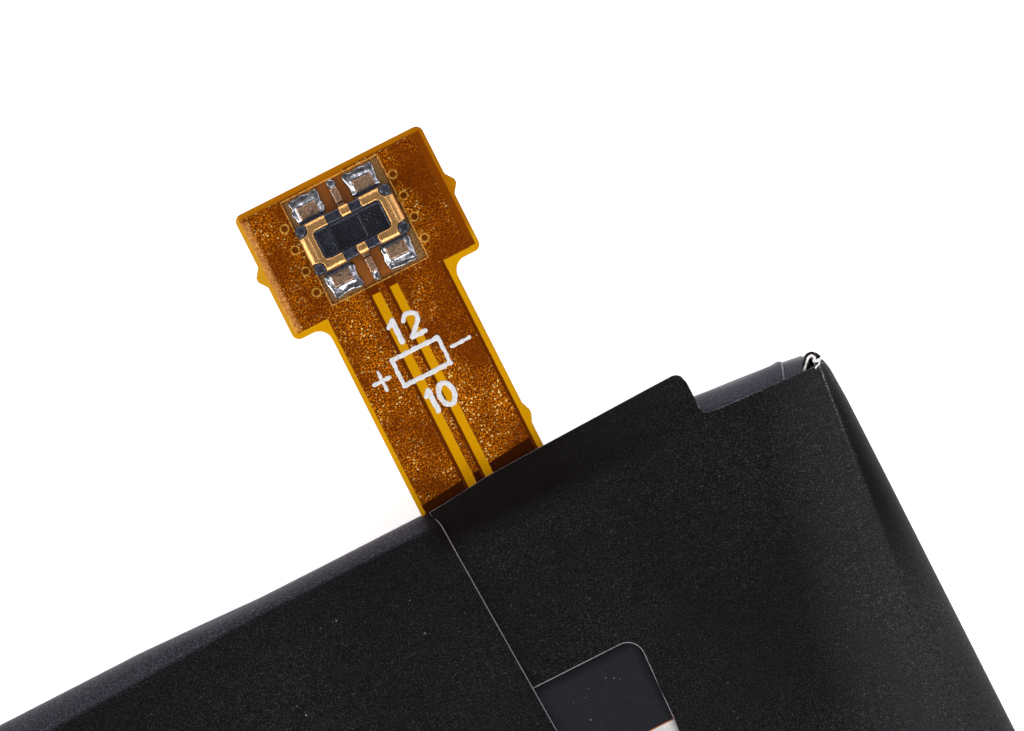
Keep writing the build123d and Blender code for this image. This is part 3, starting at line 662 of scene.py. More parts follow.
def makePlainMaterial(name, dark, light, roughness, size=0.2, bump=0.01, specular=0.5):
    # moulded, painted or foamed finish
    material, tree, shader = newMaterial(name, **{"Specular IOR Level": specular})
    place = placeMm(tree)
    grain = grainAt(tree, place, size, 0.15)
    dust = times(tree, specksAt(tree, place, 0.9, 0.03, 0.25), 0.5)
    colour = blendColours(tree, grain["Mask"], rgba(*dark), rgba(*light))
    colour = blendColours(tree, dust, colour, rgba(170, 170, 170))
    feed(tree, shader, **{"Base Color": colour, "Roughness": scaled(tree, grain["Mask"], 0.1, roughness)})
    bumpFrom(tree, shader, grain["Height"], 1.0, bump)
    return material


# label, its areas in the tail's own frame
labelLook = {
    "black": (rgba(31, 31, 35), rgba(38, 38, 43)), "pale": (rgba(196, 191, 187), rgba(222, 217, 213)),
    "trim": rgba(168, 98, 40), "shade": rgba(3, 3, 4), "dust": rgba(150, 150, 158),
    "trimArea": (-9, 9, -90, -16.825), "paleArea": (-9, 9, -90, -16.86),
    "litArea": (-9, 2.04, -29.7, -14.03), "dustSpecks": (0.22, 0.025, 0.42), "specular": 0.2,
}


def makeLabelMaterial():
    # glossy black label with a pale field further down
    look = labelLook
    material, tree, shader = newMaterial("labelPrint", **{"Specular IOR Level": look["specular"]})
    place = placeMm(tree, (*flexSpot, 0))
    grain = grainAt(tree, place, 0.2, 0.3)["Mask"]
    black, pale = (blendColours(tree, grain, *look[field]) for field in ("black", "pale"))
    trim, field = (areaMask(tree, place, [look[area]], 0.02) for area in ("trimArea", "paleArea"))
    # the film's edge keeps the light off the label beside it
    unlit = minus(tree, 1, areaMask(tree, place, [look["litArea"]], 0.36))
    dust = specksAt(tree, place, *look["dustSpecks"])
    colour = layerColours(tree, black, [
        (trim, look["trim"]), (field, pale),
        (times(tree, unlit, 0.8), look["shade"]), (times(tree, dust, 0.7), look["dust"]),
    ])
    feed(tree, shader, **{"Base Color": colour, "Roughness": scaled(tree, grain, 0.05, 0.3)})
    return material


def makeClearMaterial():
    # clear film at the corner: painted near white as the highlights on its creases, so hardly seen through
    material, tree, shader = newMaterial("clearFilmHighlight", Roughness=0.12, IOR=1.5)
    grain = grainAt(tree, placeMm(tree), 0.3, 0.2)
    colour = blendColours(tree, grain["Mask"], rgba(226, 220, 214), rgba(254, 252, 248))
    feed(tree, shader, **{"Base Color": colour, "Alpha": scaled(tree, grain["Mask"], 0.1, 0.88)})
    bumpFrom(tree, shader, grain["Height"], 1.0, 0.05)
    return material


filmBlack = makeFilmMaterial()
cutEdgeHighlight = makeCutEdgeHighlight()
frontAmber = makeCoverMaterial("frontAmber")
backAmber = makeCoverMaterial("backAmber", mirrored=True)
baseFilm = makeBaseMaterial()
labelPrint = makeLabelMaterial()
clearFilmHighlight = makeClearMaterial()
goldPlate = makeMetalMaterial("goldPlate", (206, 142, 74), (255, 204, 136), 0.3, size=0.05, bump=0.014)
footTin = makeMetalMaterial("footTin", (132, 100, 82), (238, 196, 164), 0.34, size=0.055, bump=0.02)
solderTin = makeMetalMaterial("solderTin", (78, 80, 88), (190, 191, 197), 0.18, size=0.12, bump=0.016)
tinnedPad = makeMetalMaterial("tinnedPad", (112, 66, 28), (226, 176, 116), 0.3, size=0.045, bump=0.02)
copperFoil = makeMetalMaterial("copperFoil", (170, 96, 40), (222, 140, 72), 0.35)
coverEdge = makePlainMaterial("coverEdge", (176, 104, 12), (226, 158, 40), 0.35, size=0.15)
housingBlack = makePlainMaterial("housingBlack", (23, 25, 32), (57, 59, 74), 0.16, size=0.07, bump=0.016)
tapeBlack = makePlainMaterial("tapeBlack", (17, 16, 22), (58, 54, 69), 0.45, size=0.07, specular=0.25)
legendInk = makePlainMaterial("legendInk", (211, 211, 212), (232, 232, 233), 0.5, size=0.1, specular=0.3)
print("materials made")

# finishes of the solids inside the pack and behind the tail
innerMetals = {
    "cell_pouch": ((150, 152, 156), (196, 198, 202), 0.35),
    "positive_tab": ((168, 170, 172), (214, 216, 218), 0.3),
    "negative_tab": ((150, 146, 134), (202, 196, 180), 0.3),
    "weld_plates": ((150, 146, 134), (202, 196, 180), 0.3),
}
innerPlains = {
    "tab_sealant": ((190, 188, 176), (220, 218, 206), 0.4),
    "terrace_tape": ((190, 150, 40), (214, 172, 60), 0.4),
    "terrace_foam": ((30, 30, 32), (52, 52, 54), 0.85),
    "cover_foam": ((30, 30, 32), (52, 52, 54), 0.85),
    "protection_board": ((10, 60, 34), (18, 84, 48), 0.35),
    "protection_ic": ((22, 22, 24), (38, 38, 40), 0.5),
    "power_transistors": ((22, 22, 24), (38, 38, 40), 0.5),
    "current_fuse": ((200, 196, 180), (224, 220, 206), 0.45),
    "chip_resistors": ((24, 24, 26), (44, 44, 46), 0.4),
    "chip_capacitors": ((150, 118, 84), (180, 146, 108), 0.45),
    "head_stiffener": ((132, 84, 24), (168, 112, 40), 0.4),
}
keptLooks = {name: makeMetalMaterial(name + "Finish", *look) for name, look in innerMetals.items()}
keptLooks.update({name: makePlainMaterial(name + "Finish", *look) for name, look in innerPlains.items()})
keptLooks.update({
    "inner_label": labelPrint, "flex_base": baseFilm, "back_coverlay": backAmber,
    "positive_copper": tinnedPad, "negative_copper": tinnedPad, "signal_copper": tinnedPad,
    "back_copper": copperFoil, "plated_vias": copperFoil,
})
for name, material in keptLooks.items():
    cadNodes[name].data.materials.clear()
    cadNodes[name].data.materials.append(material)

# wrapping film, one sheet round the pack: from under the seam over the front, the right side, the back and
# the left side to the seam again. All in millimetres. A profile is its places and the values there: along
# the pack for the sides, and across it from the tail's centreline for the rest.
wrap = {
    "thickness": 0.085, "front": 4.7, "endFront": 4.1, "slope": 6.0, "middle": 2.0, "sag": 0.045,
    "overlapLift": 0.11, "overlapWidth": 20.0, "overlapRise": 1.4, "hiddenWidth": 3.0, "hiddenStart": -1.5,
    "hiddenSetback": 0.9, "tuck": 0.13, "tuckEase": 0.3, "seamOffset": -1.82, "seamSlant": 0.0375,
    "seamBend": 0.0095, "seamBendReach": 8.0, "seamHook": 0.19, "widestShare": 0.72,
    "footRoll": 1.3, "footPinch": 0.1, "footWiden": (2.2, 1.6), "endRollDrop": 1.1, "endPinch": 0.35,
    "backRoll": 0.5, "foldedTo": 0.42, "wallLean": 0.11, "rollEase": 0.06, "cutChamfer": 0.03,
    "leftInset": 1.9, "leftBackInset": 1.2, "rightBackInset": 1.0, "backSplit": -1.85,
    "windowRight": 2.23, "windowTop": -13.85, "windowBottom": -29.85, "windowRadius": 0.6,
    "windowLean": 0.04, "windowWidth": 8.0,
    "flapRight": 7.54, "flapCorner": 0.35, "flapInner": 0.27, "flapTip": 3.44, "flapEase": 2.8,
    "crest": 0.22, "crestWidth": 0.9, "slide": 0.1, "bareEdge": -8.35, "bareSlant": 0.055, "bareFray": 0.008,
    "backOpenSetback": 0.78, "tailSplit": 1.6, "splitShare": 0.6, "slotLeft": -2.6,
    "flapEdge": ([-1.87, 0.2, 2.3, 6.5, 7.6], [-7.08, -6.87, -6.80, -6.68, -6.66]),
    "valley": ([-2, 3, 8], [-8.35, -8.75, -8.9]),
    "endDrop": ([-8, -3.2], [1.1, 0.84]),
    "rollRadius": ([-46, -20, -17, -13.5, -10.5, -6, -2, 0], [0.9, 0.9, 0.9, 0.5, 0.32, 0.5, 0.66, 0.66]),
    "closedEdge": (
        [-46, -18, -12.5, -11.2, -10.2, -8.5, -5.2, -2],
        [-7.02, -7.02, -6.98, -7.02, -7.1, -7.14, -7.13, -7.11],
    ),
    "rightWidest": ([footEnd, 38, 39.2, 39.5, 39.75, 39.9], [29.0, 29.0, 28.95, 28.88, 28.75, 28.6]),
    "rightCrease": (
        [22, 27, 31, 33, 35.8, 38, 39.4, 39.9], [27.3, 27.4, 27.7, 27.95, 28.22, 28.42, 28.5, 28.3],
    ),
    "leftWidest": ([footEnd, 34, 40, 41], [29.0, 29.0, 28.8, 28.6]),
}
slopeStart = packEnd - wrap["slope"]
foldY = packEnd - 1.8
openKinds = ("under", "front", "toCrease", "backRight", "rightUpper", "rightLower")
frontKinds = ("under", "front", "toCrease")


def profile(name, place):
    return np.interp(place, *wrap[name])


def seamAt(y):
    bend = wrap["seamBend"] * np.clip(foldY - y, 0, wrap["seamBendReach"])
    hook = wrap["seamHook"] * smoothStep((y - packEnd + 0.7) / 0.75)
    return flexX + wrap["seamOffset"] + wrap["seamSlant"] * (foldY - y) + bend - hook


def hiddenEdge(y):
    # where the sheet under the overlap starts
    return min(seamAt(y), flexX + wrap["hiddenStart"])


def nearFoot(y):
    reach, run = wrap["footWiden"]
    return smoothStep((footEnd + reach - y) / run)


def rightCrease(y):
    return profile("rightCrease", y) + 0.85 * nearFoot(y)


def frontAt(x, y):
    # height of the front, with the slight unevenness of a wrapped pouch
    past = np.maximum(0, y - slopeStart) / wrap["slope"]
    flat = wrap["front"] - (wrap["front"] - wrap["endFront"]) * past
    calm = smoothStep((packHalf - 0.6 - np.abs(x)) / 3)
    broad = 0.012 * ripple(x, y, 11, 9.0) + 0.006 * ripple(x, y, 12, 3.4)
    return flat + (broad - wrap["sag"]) * calm


def flapEdge(x):
    # the film's free edge at the tail end: the flap, then the bare cut edge right of it
    local = x - flexX
    right, corner, inner = wrap["flapRight"], wrap["flapCorner"], wrap["flapInner"]
    turn = np.clip((local - (right - corner)) / corner, 0, 1)
    flap = headY + profile("flapEdge", local) - corner * (1 - np.sqrt(1 - turn ** 2))
    rise = np.clip((right + inner - local) / inner, 0, 1)
    bare = headY + wrap["bareEdge"] - wrap["bareSlant"] * (local - 8.5)
    bare = bare + inner * (1 - np.sqrt(1 - rise ** 2)) + wrap["bareFray"] * ripple(x, 0 * x, 5, 0.35)
    return np.where(local <= right, flap, bare)


def flapHeight(x, y):
    # past the fold the film rises a little, then droops over the tail
    local = x - flexX
    valley = headY + profile("valley", local)
    past = np.maximum(0, y - valley)
    crest = wrap["crest"] * past * np.exp(-(past / wrap["crestWidth"]) ** 2)
    droop = np.clip(past / (packEnd + 0.42 - valley), 0, 1.1) ** 2.4
    share = smoothStep((wrap["flapRight"] + wrap["flapEase"] - local) / wrap["flapEase"])
    start = frontAt(x, np.minimum(y, valley)) - wrap["slide"] * past
    flap = start + crest - (start - wrap["flapTip"]) * droop
    return flap * share + frontAt(x, y) * (1 - share)


def makeColumns():
    # columns round the pack: a kind and a place on that part of it
    right, corner, inner = wrap["flapRight"], wrap["flapCorner"], wrap["flapInner"]
    window = wrap["windowRight"]
    front = np.concatenate([
        np.linspace(-1.45, window - 0.8, 8),
        np.linspace(window - 0.7, window + 0.07, 14),
        np.linspace(window + 0.3, right - corner, 17),
        right - corner * np.cos(np.linspace(0, math.pi / 2, 9)[1:]),
        right + inner * (1 - np.cos(np.linspace(0.05, math.pi / 2, 8))),
    ])
    columns = [("under", t) for t in (1, 0.5, 0.02, 0)]
    columns += [("front", x) for x in front]
    # shares of a flat part and degrees of a turned one
    for kind, start, end, count in (
        ("toCrease", 0, 1, 24), ("rightUpper", 0, 90, 12), ("rightLower", 90, 180, 9),
        ("backRight", 0, 1, 9),
    ):
        columns += [(kind, t) for t in np.linspace(start, end, count)[1:]]
    columns += [("backLeft", t) for t in (0.001, *np.linspace(0, 1, 20)[1:])]
    columns += [("leftLower", a) for a in np.linspace(180, 90, 9)[1:]]
    columns += [("leftUpper", a) for a in np.linspace(90, 0, 10)[1:]]
    columns += [("over", t) for t in 1 - (1 - np.linspace(0, 1, 78)[1:]) ** 1.2]
    return columns


def makeRows():
    rows = [("footWall", t) for t in np.linspace(0, 1, 4)[:-1]]
    rows += [("footRoll", a) for a in np.linspace(90, 0, 8)[:-1]]
    for start, end, count in (
        (footEnd + wrap["footRoll"], 18, 26), (18, 33.4, 30), (33.4, 34.35, 16), (34.35, slopeStart, 3),
    ):
        rows += [("length", y) for y in np.linspace(start, end, count)[:-1]]
    share = wrap["splitShare"]
    rows += [("tail", t) for t in np.linspace(0, share, 20)[:-1]]
    rows += [("tail", share + (1 - share) * t) for t in 1 - (1 - np.linspace(0, 1, 17)) ** 1.25]
    rows += [("roll", a) for a in np.linspace(0, 90, 12)[1:]]
    rows += [("wall", t) for t in np.linspace(0, 1, 5)[1:]]
    return rows


def acrossPack(kind, place, y):
    # x of a column at a place along the pack
    if kind == "front":
        return flexX + place
    if kind == "under":
        return hiddenEdge(y) - wrap["hiddenWidth"] * place
    if kind == "toCrease":
        start, end = flexX + wrap["flapRight"] + wrap["flapInner"], rightCrease(y)
    elif kind == "over":
        start, end = wrap["leftInset"] - profile("leftWidest", y), seamAt(y)
    elif kind == "backRight":
        start, end = profile("rightWidest", y) - wrap["rightBackInset"], flexX + wrap["backSplit"]
    elif kind == "backLeft":
        start, end = flexX + wrap["backSplit"], wrap["leftBackInset"] - profile("leftWidest", y)
    else:
        return packHalf if kind in openKinds else -packHalf
    return start + (end - start) * place


def endEdge(kind, place, x):
    # where a column stops at the tail end, or where its roll over the closed part begins
    if kind in ("front", "toCrease") or (kind == "under" and place == 0):
        return float(flapEdge(x))
    if kind == "under":
        return packEnd - wrap["hiddenSetback"]
    if kind in ("rightUpper", "rightLower"):
        return float(flapEdge(28.6)) + 0.42 * smoothStep(place / 50)
    if kind == "backRight":
        return packEnd - wrap["backOpenSetback"] - max(0, x - flexX - 7) ** 2 / 52
    closed = headY + profile("closedEdge", x - flexX)
    return closed - (profile("rollRadius", x - flexX) if kind == "over" else wrap["backRoll"])


def wrapPoint(column, row):
    # a point of the sheet, or none where a column stops before a row
    kind, place = column
    step, part = row
    angle = math.radians(part) if step in ("footRoll", "roll") else math.pi / 2
    turned = 1 - math.cos(angle)
    share = part if step in ("footWall", "wall") else turned
    pinch = 0
    # along the pack, and across it
    if step == "length":
        y = guessY = part
    elif step in ("footWall", "footRoll"):
        y = guessY = footEnd + wrap["footRoll"] * (1 - math.sin(angle))
        pinch = wrap["footPinch"] * turned
    else:
        guessY = slopeStart + (packEnd - 0.5 - slopeStart) * (part if step == "tail" else 1)
    x = acrossPack(kind, place, guessY)
    if step == "tail":
        # the same rows up to the split, whatever lies past it
        split, splitShare = packEnd - wrap["tailSplit"], wrap["splitShare"]
        y = slopeStart + (split - slopeStart) * min(part / splitShare, 1)
        y += (endEdge(kind, place, x) - split) * max(0, (part - splitShare) / (1 - splitShare))
    elif step in ("roll", "wall"):
        if kind in openKinds or (kind == "backLeft" and step == "wall"):
            return None
        reach = profile("rollRadius", x - flexX) if kind == "over" else wrap["backRoll"]
        y = endEdge(kind, place, x) + reach * math.sin(angle)
        y -= wrap["wallLean"] * part ** 2 if step == "wall" else 0
        pinch = wrap["endPinch"] * turned
    # both edges at the seam follow it
    if kind == "over":
        x += (seamAt(y) - seamAt(guessY)) * place
    elif kind == "under":
        x += (hiddenEdge(y) - hiddenEdge(guessY)) * (1 - place)
    seam = seamAt(y)
    if kind in ("under", "front") and step in ("footWall", "footRoll"):
        # the hidden layer is tucked behind the one over it
        y += wrap["tuck"] * turned * smoothStep((seam + wrap["tuckEase"] - x) / wrap["tuckEase"])
    # front and back heights at this place
    top = flapHeight(x, y) if kind in frontKinds else frontAt(x, y)
    bottom, middle, drop = 0, wrap["middle"], wrap["endRollDrop"]
    if kind == "over":
        top += wrap["overlapLift"] * smoothStep((x - (seam - wrap["overlapWidth"])) / wrap["overlapRise"])
        top -= wrap["rollEase"] * part / 90 if step == "roll" else 0
        drop = profile("endDrop", x - flexX)
    if step == "footRoll":
        top -= wrap["footRoll"] * share
        bottom = wrap["footRoll"] * share
    elif step == "footWall":
        top = middle + (wrap["front"] - wrap["footRoll"] - middle) * share
        bottom = middle - (middle - wrap["footRoll"]) * share
    elif step == "roll":
        top -= drop * share
        bottom = wrap["backRoll"] * share
    elif step == "wall":
        top -= drop
        top += (wrap["foldedTo"] - top) * share
        bottom = wrap["backRoll"] + (wrap["foldedTo"] - wrap["backRoll"]) * share
    if kind in frontKinds or kind == "over":
        return x, y, top
    if kind in ("backRight", "backLeft"):
        return x, y, bottom
    # the sides are widest above their middle
    angle = math.radians(place)
    upper, sideRight = place <= 90, kind in openKinds
    centre = bottom + (top - bottom) * (wrap["widestShare"] if sideRight else 0.5)
    height = centre + (top - centre if upper else centre - bottom) * math.cos(angle)
    if sideRight:
        widest = profile("rightWidest", y) - pinch
        inner = rightCrease(y) - pinch if upper else widest - wrap["rightBackInset"] + 0.55 * nearFoot(y)
        return inner + (widest - inner) * math.sin(angle), y, height
    widest = profile("leftWidest", y) - pinch
    inner = widest - wrap["leftInset"] + 0.95 * nearFoot(y) if upper else widest - wrap["leftBackInset"]
    return -inner - (widest - inner) * math.sin(angle), y, height


def faceOutward(piece):
    build = bmesh.new()
    build.from_mesh(piece.data)
    bmesh.ops.remove_doubles(build, verts=build.verts, dist=0.001 * mm)
    bmesh.ops.recalc_face_normals(build, faces=build.faces)
    if max(build.faces, key=lambda f: f.calc_center_median().z).normal.z < 0:
        bmesh.ops.reverse_faces(build, faces=build.faces)
    build.to_mesh(piece.data)
    build.free()
    return len(piece.data.vertices)


def chamferCuts(piece, outerCount, size):
    # a thickened sheet's cut edges are chamfered, so that they catch the light from above
    build = bmesh.new()
    build.from_mesh(piece.data)
    build.verts.ensure_lookup_table()
    edges = [
        e for e in build.edges
        if {f.material_index for f in e.link_faces} == {0, 1} and max(v.index for v in e.verts) < outerCount
    ]
    corners = list({v for e in edges for v in e.verts})
    bmesh.ops.bevel(
        build, geom=corners + edges, offset=size * mm, offset_type="OFFSET", segments=1,
        affect="EDGES", clamp_overlap=False, material=1,
    )
    build.to_mesh(piece.data)
    build.free()
    print("chamfered edges:", len(edges))


def thicken(piece, thickness, chamfer, materials):
    # an open sheet is thickened inward, and its cut edges take the second material
    outerCount = faceOutward(piece)
    solid = piece.modifiers.new("thickness", "SOLIDIFY")
    solid.thickness = thickness * mm
    solid.offset = -1
    solid.use_even_offset = False
    solid.material_offset_rim = 1
    for material in materials:
        piece.data.materials.append(material)
    bakeModifiers(piece)
    chamferCuts(piece, outerCount, chamfer)


def windowGap(places):
    # the window over the label leans a little
    right, low, top = flexX + wrap["windowRight"], headY + wrap["windowBottom"], headY + wrap["windowTop"]
    leaned = places + np.outer(top - places[:, 1], (wrap["windowLean"], 0))
    return roundBox(leaned, (right - wrap["windowWidth"], low), (right, top), wrap["windowRadius"])


def makeWrap():
    columns, rows = makeColumns(), makeRows()
    number, points = {}, []
    for i, column in enumerate(columns):
        for j, row in enumerate(rows):
            point = wrapPoint(column, row)
            if point is not None:
                number[i, j] = len(points)
                points.append(point)
    points = np.array(points)
    gap = windowGap(points[:, :2])
    frontLast = max(i for i, (kind, _) in enumerate(columns) if kind in frontKinds)
    faces, rim, gone = [], set(), set()
    for i in range(len(columns) - 1):
        for j in range(len(rows) - 1):
            corners = [(i, j), (i + 1, j), (i + 1, j + 1), (i, j + 1)]
            if any(c not in number for c in corners):
                continue
            face = [number[c] for c in corners]
            if i < frontLast and gap[face].sum() < 0:
                gone.update(face)
                continue
            # the tail comes out under the rolled edge
            middle = points[face].mean(0)
            atSlot = columns[i][0] == "over" and middle[0] > flexX + wrap["slotLeft"]
            if atSlot and middle[1] > packEnd - 0.5 and middle[2] < coverTop + 0.12:
                continue
            faces.append(face)
            if i < frontLast:
                rim.update(face)
    # the window's rim is moved onto its rounded outline
    rim = np.array(sorted(rim & gone))
    for _ in range(3):
        spots = points[rim, :2]
        slope = [windowGap(spots + e) - windowGap(spots - e) for e in ((0.01, 0), (0, 0.01))]
        points[rim, :2] = spots - np.stack(slope, 1) / 0.02 * windowGap(spots)[:, None]
    used = np.unique(np.concatenate(faces))
    fresh = np.full(len(points), -1)
    fresh[used] = np.arange(len(used))
    piece = makePiece("wrapping_film", points[used], fresh[np.array(faces)])
    thicken(piece, wrap["thickness"], wrap["cutChamfer"], [filmBlack, cutEdgeHighlight])
    finishPiece(piece, [filmBlack, cutEdgeHighlight], ["wrap_film"])
    return piece


wrappingFilm = makeWrap()
print("wrapping film:", len(wrappingFilm.data.polygons), "faces")

# front cover film: drapes over the copper and turns down at its rim
cover = {
    "step": 0.05, "thickness": 0.035, "emboss": 0.022, "rimDrop": 0.03, "rimWidth": 0.16, "rimRun": 0.3,
    "bevelStart": -3.49, "bevelWidth": 0.3, "bevelDrop": 0.09, "waves": 0.004,
    "flatMiddle": (-0.05, 2.44), "flatHalf": (1.9, 2.0),
    "viaRing": (0.012, 0.05), "viaDimple": (0.02, 0.09),
}
coverEdges = outlineOf("front_coverlay", coverTop)


def coverDistance(places):
    return edgeDistance(places, coverEdges)


def areaHeight(places, areas, blur):
    local = places - flexSpot
    total = np.zeros(len(places))
    for left, right, low, high in areas:
        inner = np.minimum(local - (left, low), (right, high) - local).min(1)
        total = np.maximum(total, smoothStep(inner / blur + 0.5))
    return total


def coverHeight(places):
    local = places - flexSpot
    copper = areaHeight(places, copperAreas, 0.07)
    rim = np.exp(-np.maximum(-coverDistance(places), 0) / cover["rimWidth"])
    away = np.abs(local - cover["flatMiddle"]) - cover["flatHalf"]
    outer = smoothStep(away / cover["rimRun"]).sum(1)
    onHead = smoothStep((local[:, 1] + 0.1) / cover["rimRun"]) * np.clip(outer, 0, 1)
    waves = cover["waves"] * rippleAt(local, 21, 0.5)
    bevel = np.clip((local[:, 0] - cover["bevelStart"]) / cover["bevelWidth"], 0, 1)
    slope = cover["bevelDrop"] * (1 - bevel) ** 1.5 * smoothStep((local[:, 1] - 0.1) / cover["rimRun"])
    sunk = cover["emboss"] * (1 - copper) + cover["rimDrop"] * rim * onHead
    # each via is a dimple with a raised ring
    reach = np.full(len(local), 9.0)
    for x in viaSpots["columns"]:
        for i in range(viaSpots["count"]):
            spot = (x, viaSpots["first"] + i * viaSpots["pitch"])
            reach = np.minimum(reach, np.linalg.norm(local - spot, axis=1))
    (rise, width), (depth, spread) = cover["viaRing"], cover["viaDimple"]
    ring = rise * np.exp(-((reach - viaSpots["radius"]) / width) ** 2)
    dimple = depth * np.exp(-(reach / spread) ** 2)
    return coverTop - sunk - slope + waves * copper + ring - dimple


coverSheet = cutSheet(
    "front_cover_film", coverDistance, coverLow[:2], coverHigh[:2], cover["step"], coverHeight,
    cover["thickness"],
)
finishPiece(coverSheet, [frontAmber, coverEdge], ["front_coverlay"])
print("cover film:", len(coverSheet.data.polygons), "faces")

# white legend: plain numerals, a frame and the polarity signs
legend = {
    "half": 0.068, "letterHalf": 0.08, "rise": 0.014, "step": 0.03, "wobble": 0.012, "thickness": 0.02,
    "frame": (-0.9, 0.82, -2.96, -2.01), "low": (-1.95, -4.45), "high": (1.95, -0.6),
}


def arcPoints(centre, across, along, start, end, count=12):
    angles = np.radians(np.linspace(start, end, count))
    return np.stack([centre[0] + across * np.cos(angles), centre[1] + along * np.sin(angles)], 1).tolist()


def legendStrokes():
    half = legend["half"]
    left, right, low, top = legend["frame"]
    frameLines = [
        ([(left, top), (right, top)], half + 0.012), ([(left, low), (right, low)], half + 0.012),
        ([(left, top), (left, low)], half), ([(right, top), (right, low)], half),
    ]
    signs = [
        ([(-1.79, -2.48), (-1.19, -2.48)], half * 0.95), ([(-1.49, -2.14), (-1.49, -2.82)], half * 0.9),
        ([(1.09, -2.49), (1.76, -2.49)], half * 0.9),
    ]
    half = legend["letterHalf"]
    upper = [
        ([(-0.5, -1.0), (-0.3, -0.84)], half), ([(-0.3, -0.84), (-0.3, -1.62)], half + 0.015),
        (arcPoints((0.28, -1.06), 0.25, 0.23, 165, -35), half), ([(0.48, -1.2), (0.06, -1.62)], half),
        ([(0.06, -1.62), (0.56, -1.62)], half),
    ]
    lower = [
        ([(-0.42, -3.6), (-0.26, -3.46)], half), ([(-0.26, -3.46), (-0.26, -4.2)], half + 0.015),
        (arcPoints((0.24, -3.83), 0.25, 0.38, 0, 360, 25), half + 0.01),
    ]
    return frameLines + signs + upper + lower


strokes = legendStrokes()


def legendDistance(places):
    local = places - flexSpot
    shake = legend["wobble"] * rippleAt(local, 31, 0.3)
    return strokeDistance(local, strokes) - shake


def legendHeight(places):
    inside = np.maximum(-legendDistance(places), 0)
    return coverHeight(places) + legend["rise"] * (0.45 + 0.55 * smoothStep(inside / 0.06))


legendSheet = cutSheet(
    "white_legend", legendDistance, flexSpot + legend["low"], flexSpot + legend["high"], legend["step"],
    legendHeight, legend["thickness"],
)
finishPiece(legendSheet, [legendInk, legendInk], ())
print("legend:", len(legendSheet.data.polygons), "faces")

# solder drawn up round each contact foot
solder = {
    "step": 0.026, "rise": 0.0935, "fall": 0.12, "crinkle": 0.009, "wander": 0.03, "corner": 0.12,
    "edge": 0.07, "start": 0.95, "footStart": 0.8,
    "powerX": 1.02, "powerHalf": 0.53, "footHalf": 0.34, "end": 1.8, "footEnd": 1.5,
    "signalX": 0.03, "signalHalf": 0.13, "signalFoot": 0.12, "signalFootEnd": 1.57, "signalEnd": 1.84,
}


def makeJoint(name, x, half, footHalf, footEnd, end, sign, seed):
    lowY, highY = sorted((sign * solder["start"], sign * end))
    jointLow, jointHigh = np.array([x - half, lowY]), np.array([x + half, highY])
    footLow, footHigh = sorted((sign * solder["footStart"], sign * footEnd))

    def gap(places):
        spots = places - connectorSpot
        uneven = solder["wander"] * rippleAt(spots, seed, 0.5)
        return roundBox(spots, jointLow, jointHigh, solder["corner"]) - uneven

    def height(places):
        spots = places - connectorSpot
        away = np.maximum(roundBox(spots, (x - footHalf, footLow), (x + footHalf, footHigh)), 0)
        inner = np.clip(-gap(places) / solder["edge"], 0, 1)
        climb = np.exp(-away / solder["fall"])
        crinkle = solder["crinkle"] * rippleAt(spots, seed + 1, 0.24) * (0.4 + 0.6 * inner)
        body = 0.02 + solder["rise"] * climb + crinkle
        return padLevel + np.maximum(body * (0.35 + 0.65 * np.sqrt(inner)), 0.006)

    low, high = connectorSpot + jointLow - 0.1, connectorSpot + jointHigh + 0.1
    return cutSheet(name, gap, low, high, solder["step"], height, 0.005)


# the joint's half width, the foot's half width and end, and the joint's end
powerJoint = [solder[key] for key in ("powerHalf", "footHalf", "footEnd", "end")]
signalJoint = [solder[key] for key in ("signalHalf", "signalFoot", "signalFootEnd", "signalEnd")]
seed = 40
for sign, row in ((1, "upper"), (-1, "lower")):
    for side, x, shape in (
        ("left", -solder["powerX"], powerJoint), ("right", solder["powerX"], powerJoint),
        ("middle", solder["signalX"], signalJoint),
    ):
        joint = makeJoint(f"solder_{row}_{side}", x, *shape, sign, seed)
        finishPiece(joint, [solderTin, solderTin], ["solder_joints"])
        seed += 7
print("solder joints made")

# connector: moulded housing with gold plated contacts bent over its walls, sizes from its middle
plug = {
    "step": 0.026, "half": (1.72, 0.86), "corner": 0.1, "edge": 0.09, "reach": (1.8, 1.05),
    "recess": (1.25, 0.52), "recessCorner": 0.17, "floor": 0.2, "pocket": (-0.69, 1.2, 0.465),
    "pocketDeep": 0.1, "rib": (0.39, 0.02, 0.03), "marks": (0.5, 1.1, -0.3, 0.34), "markRise": 0.016,
    "knob": (1.575, 0.715), "knobRadius": 0.195, "knobRise": 0.08, "knobClear": 0.235,
    "guard": (0.58, 1.46, 1.02), "guardRise": 0.3, "ledge": 0.2, "endWall": 1.42, "endWallDrop": 0.3,
    "plate": (0.65, 1.76, 0.89), "plateEndHalf": 0.47, "plateRoll": 0.17, "endRoll": 0.22, "proud": 0.035,
    "creaseX": 1.47, "turnedWidth": 0.012, "turnedDrop": 0.2,
    "signalHalf": 0.165, "signalInner": 0.5, "signalRoll": 0.12, "signalX": {"upper": 0.06, "lower": 0.03},
    "foot": (0.679, 1.387, 0.9, 1.48), "leg": (0.125, 0.84, 1.56), "footRise": 0.125, "footEdge": 0.03,
}
baseLevel = housingLow[2]
bodyTop = housingHigh[2] - plug["knobRise"]


def knobGap(spots):
    return np.linalg.norm(np.abs(spots) - plug["knob"], axis=1)


def recessGap(spots):
    half = np.array(plug["recess"])
    return roundBox(spots, -half, half, plug["recessCorner"])


def bodyGap(spots):
    half = np.array(plug["half"])
    return roundBox(spots, -half, half, plug["corner"])


def housingGap(places):
    spots = np.abs(places - connectorSpot)
    left, right, top = plug["guard"]
    guard = roundBox(spots, (left, 0.7), (right, top), 0.03)
    return np.minimum.reduce([bodyGap(spots), knobGap(spots) - plug["knobRadius"], guard])


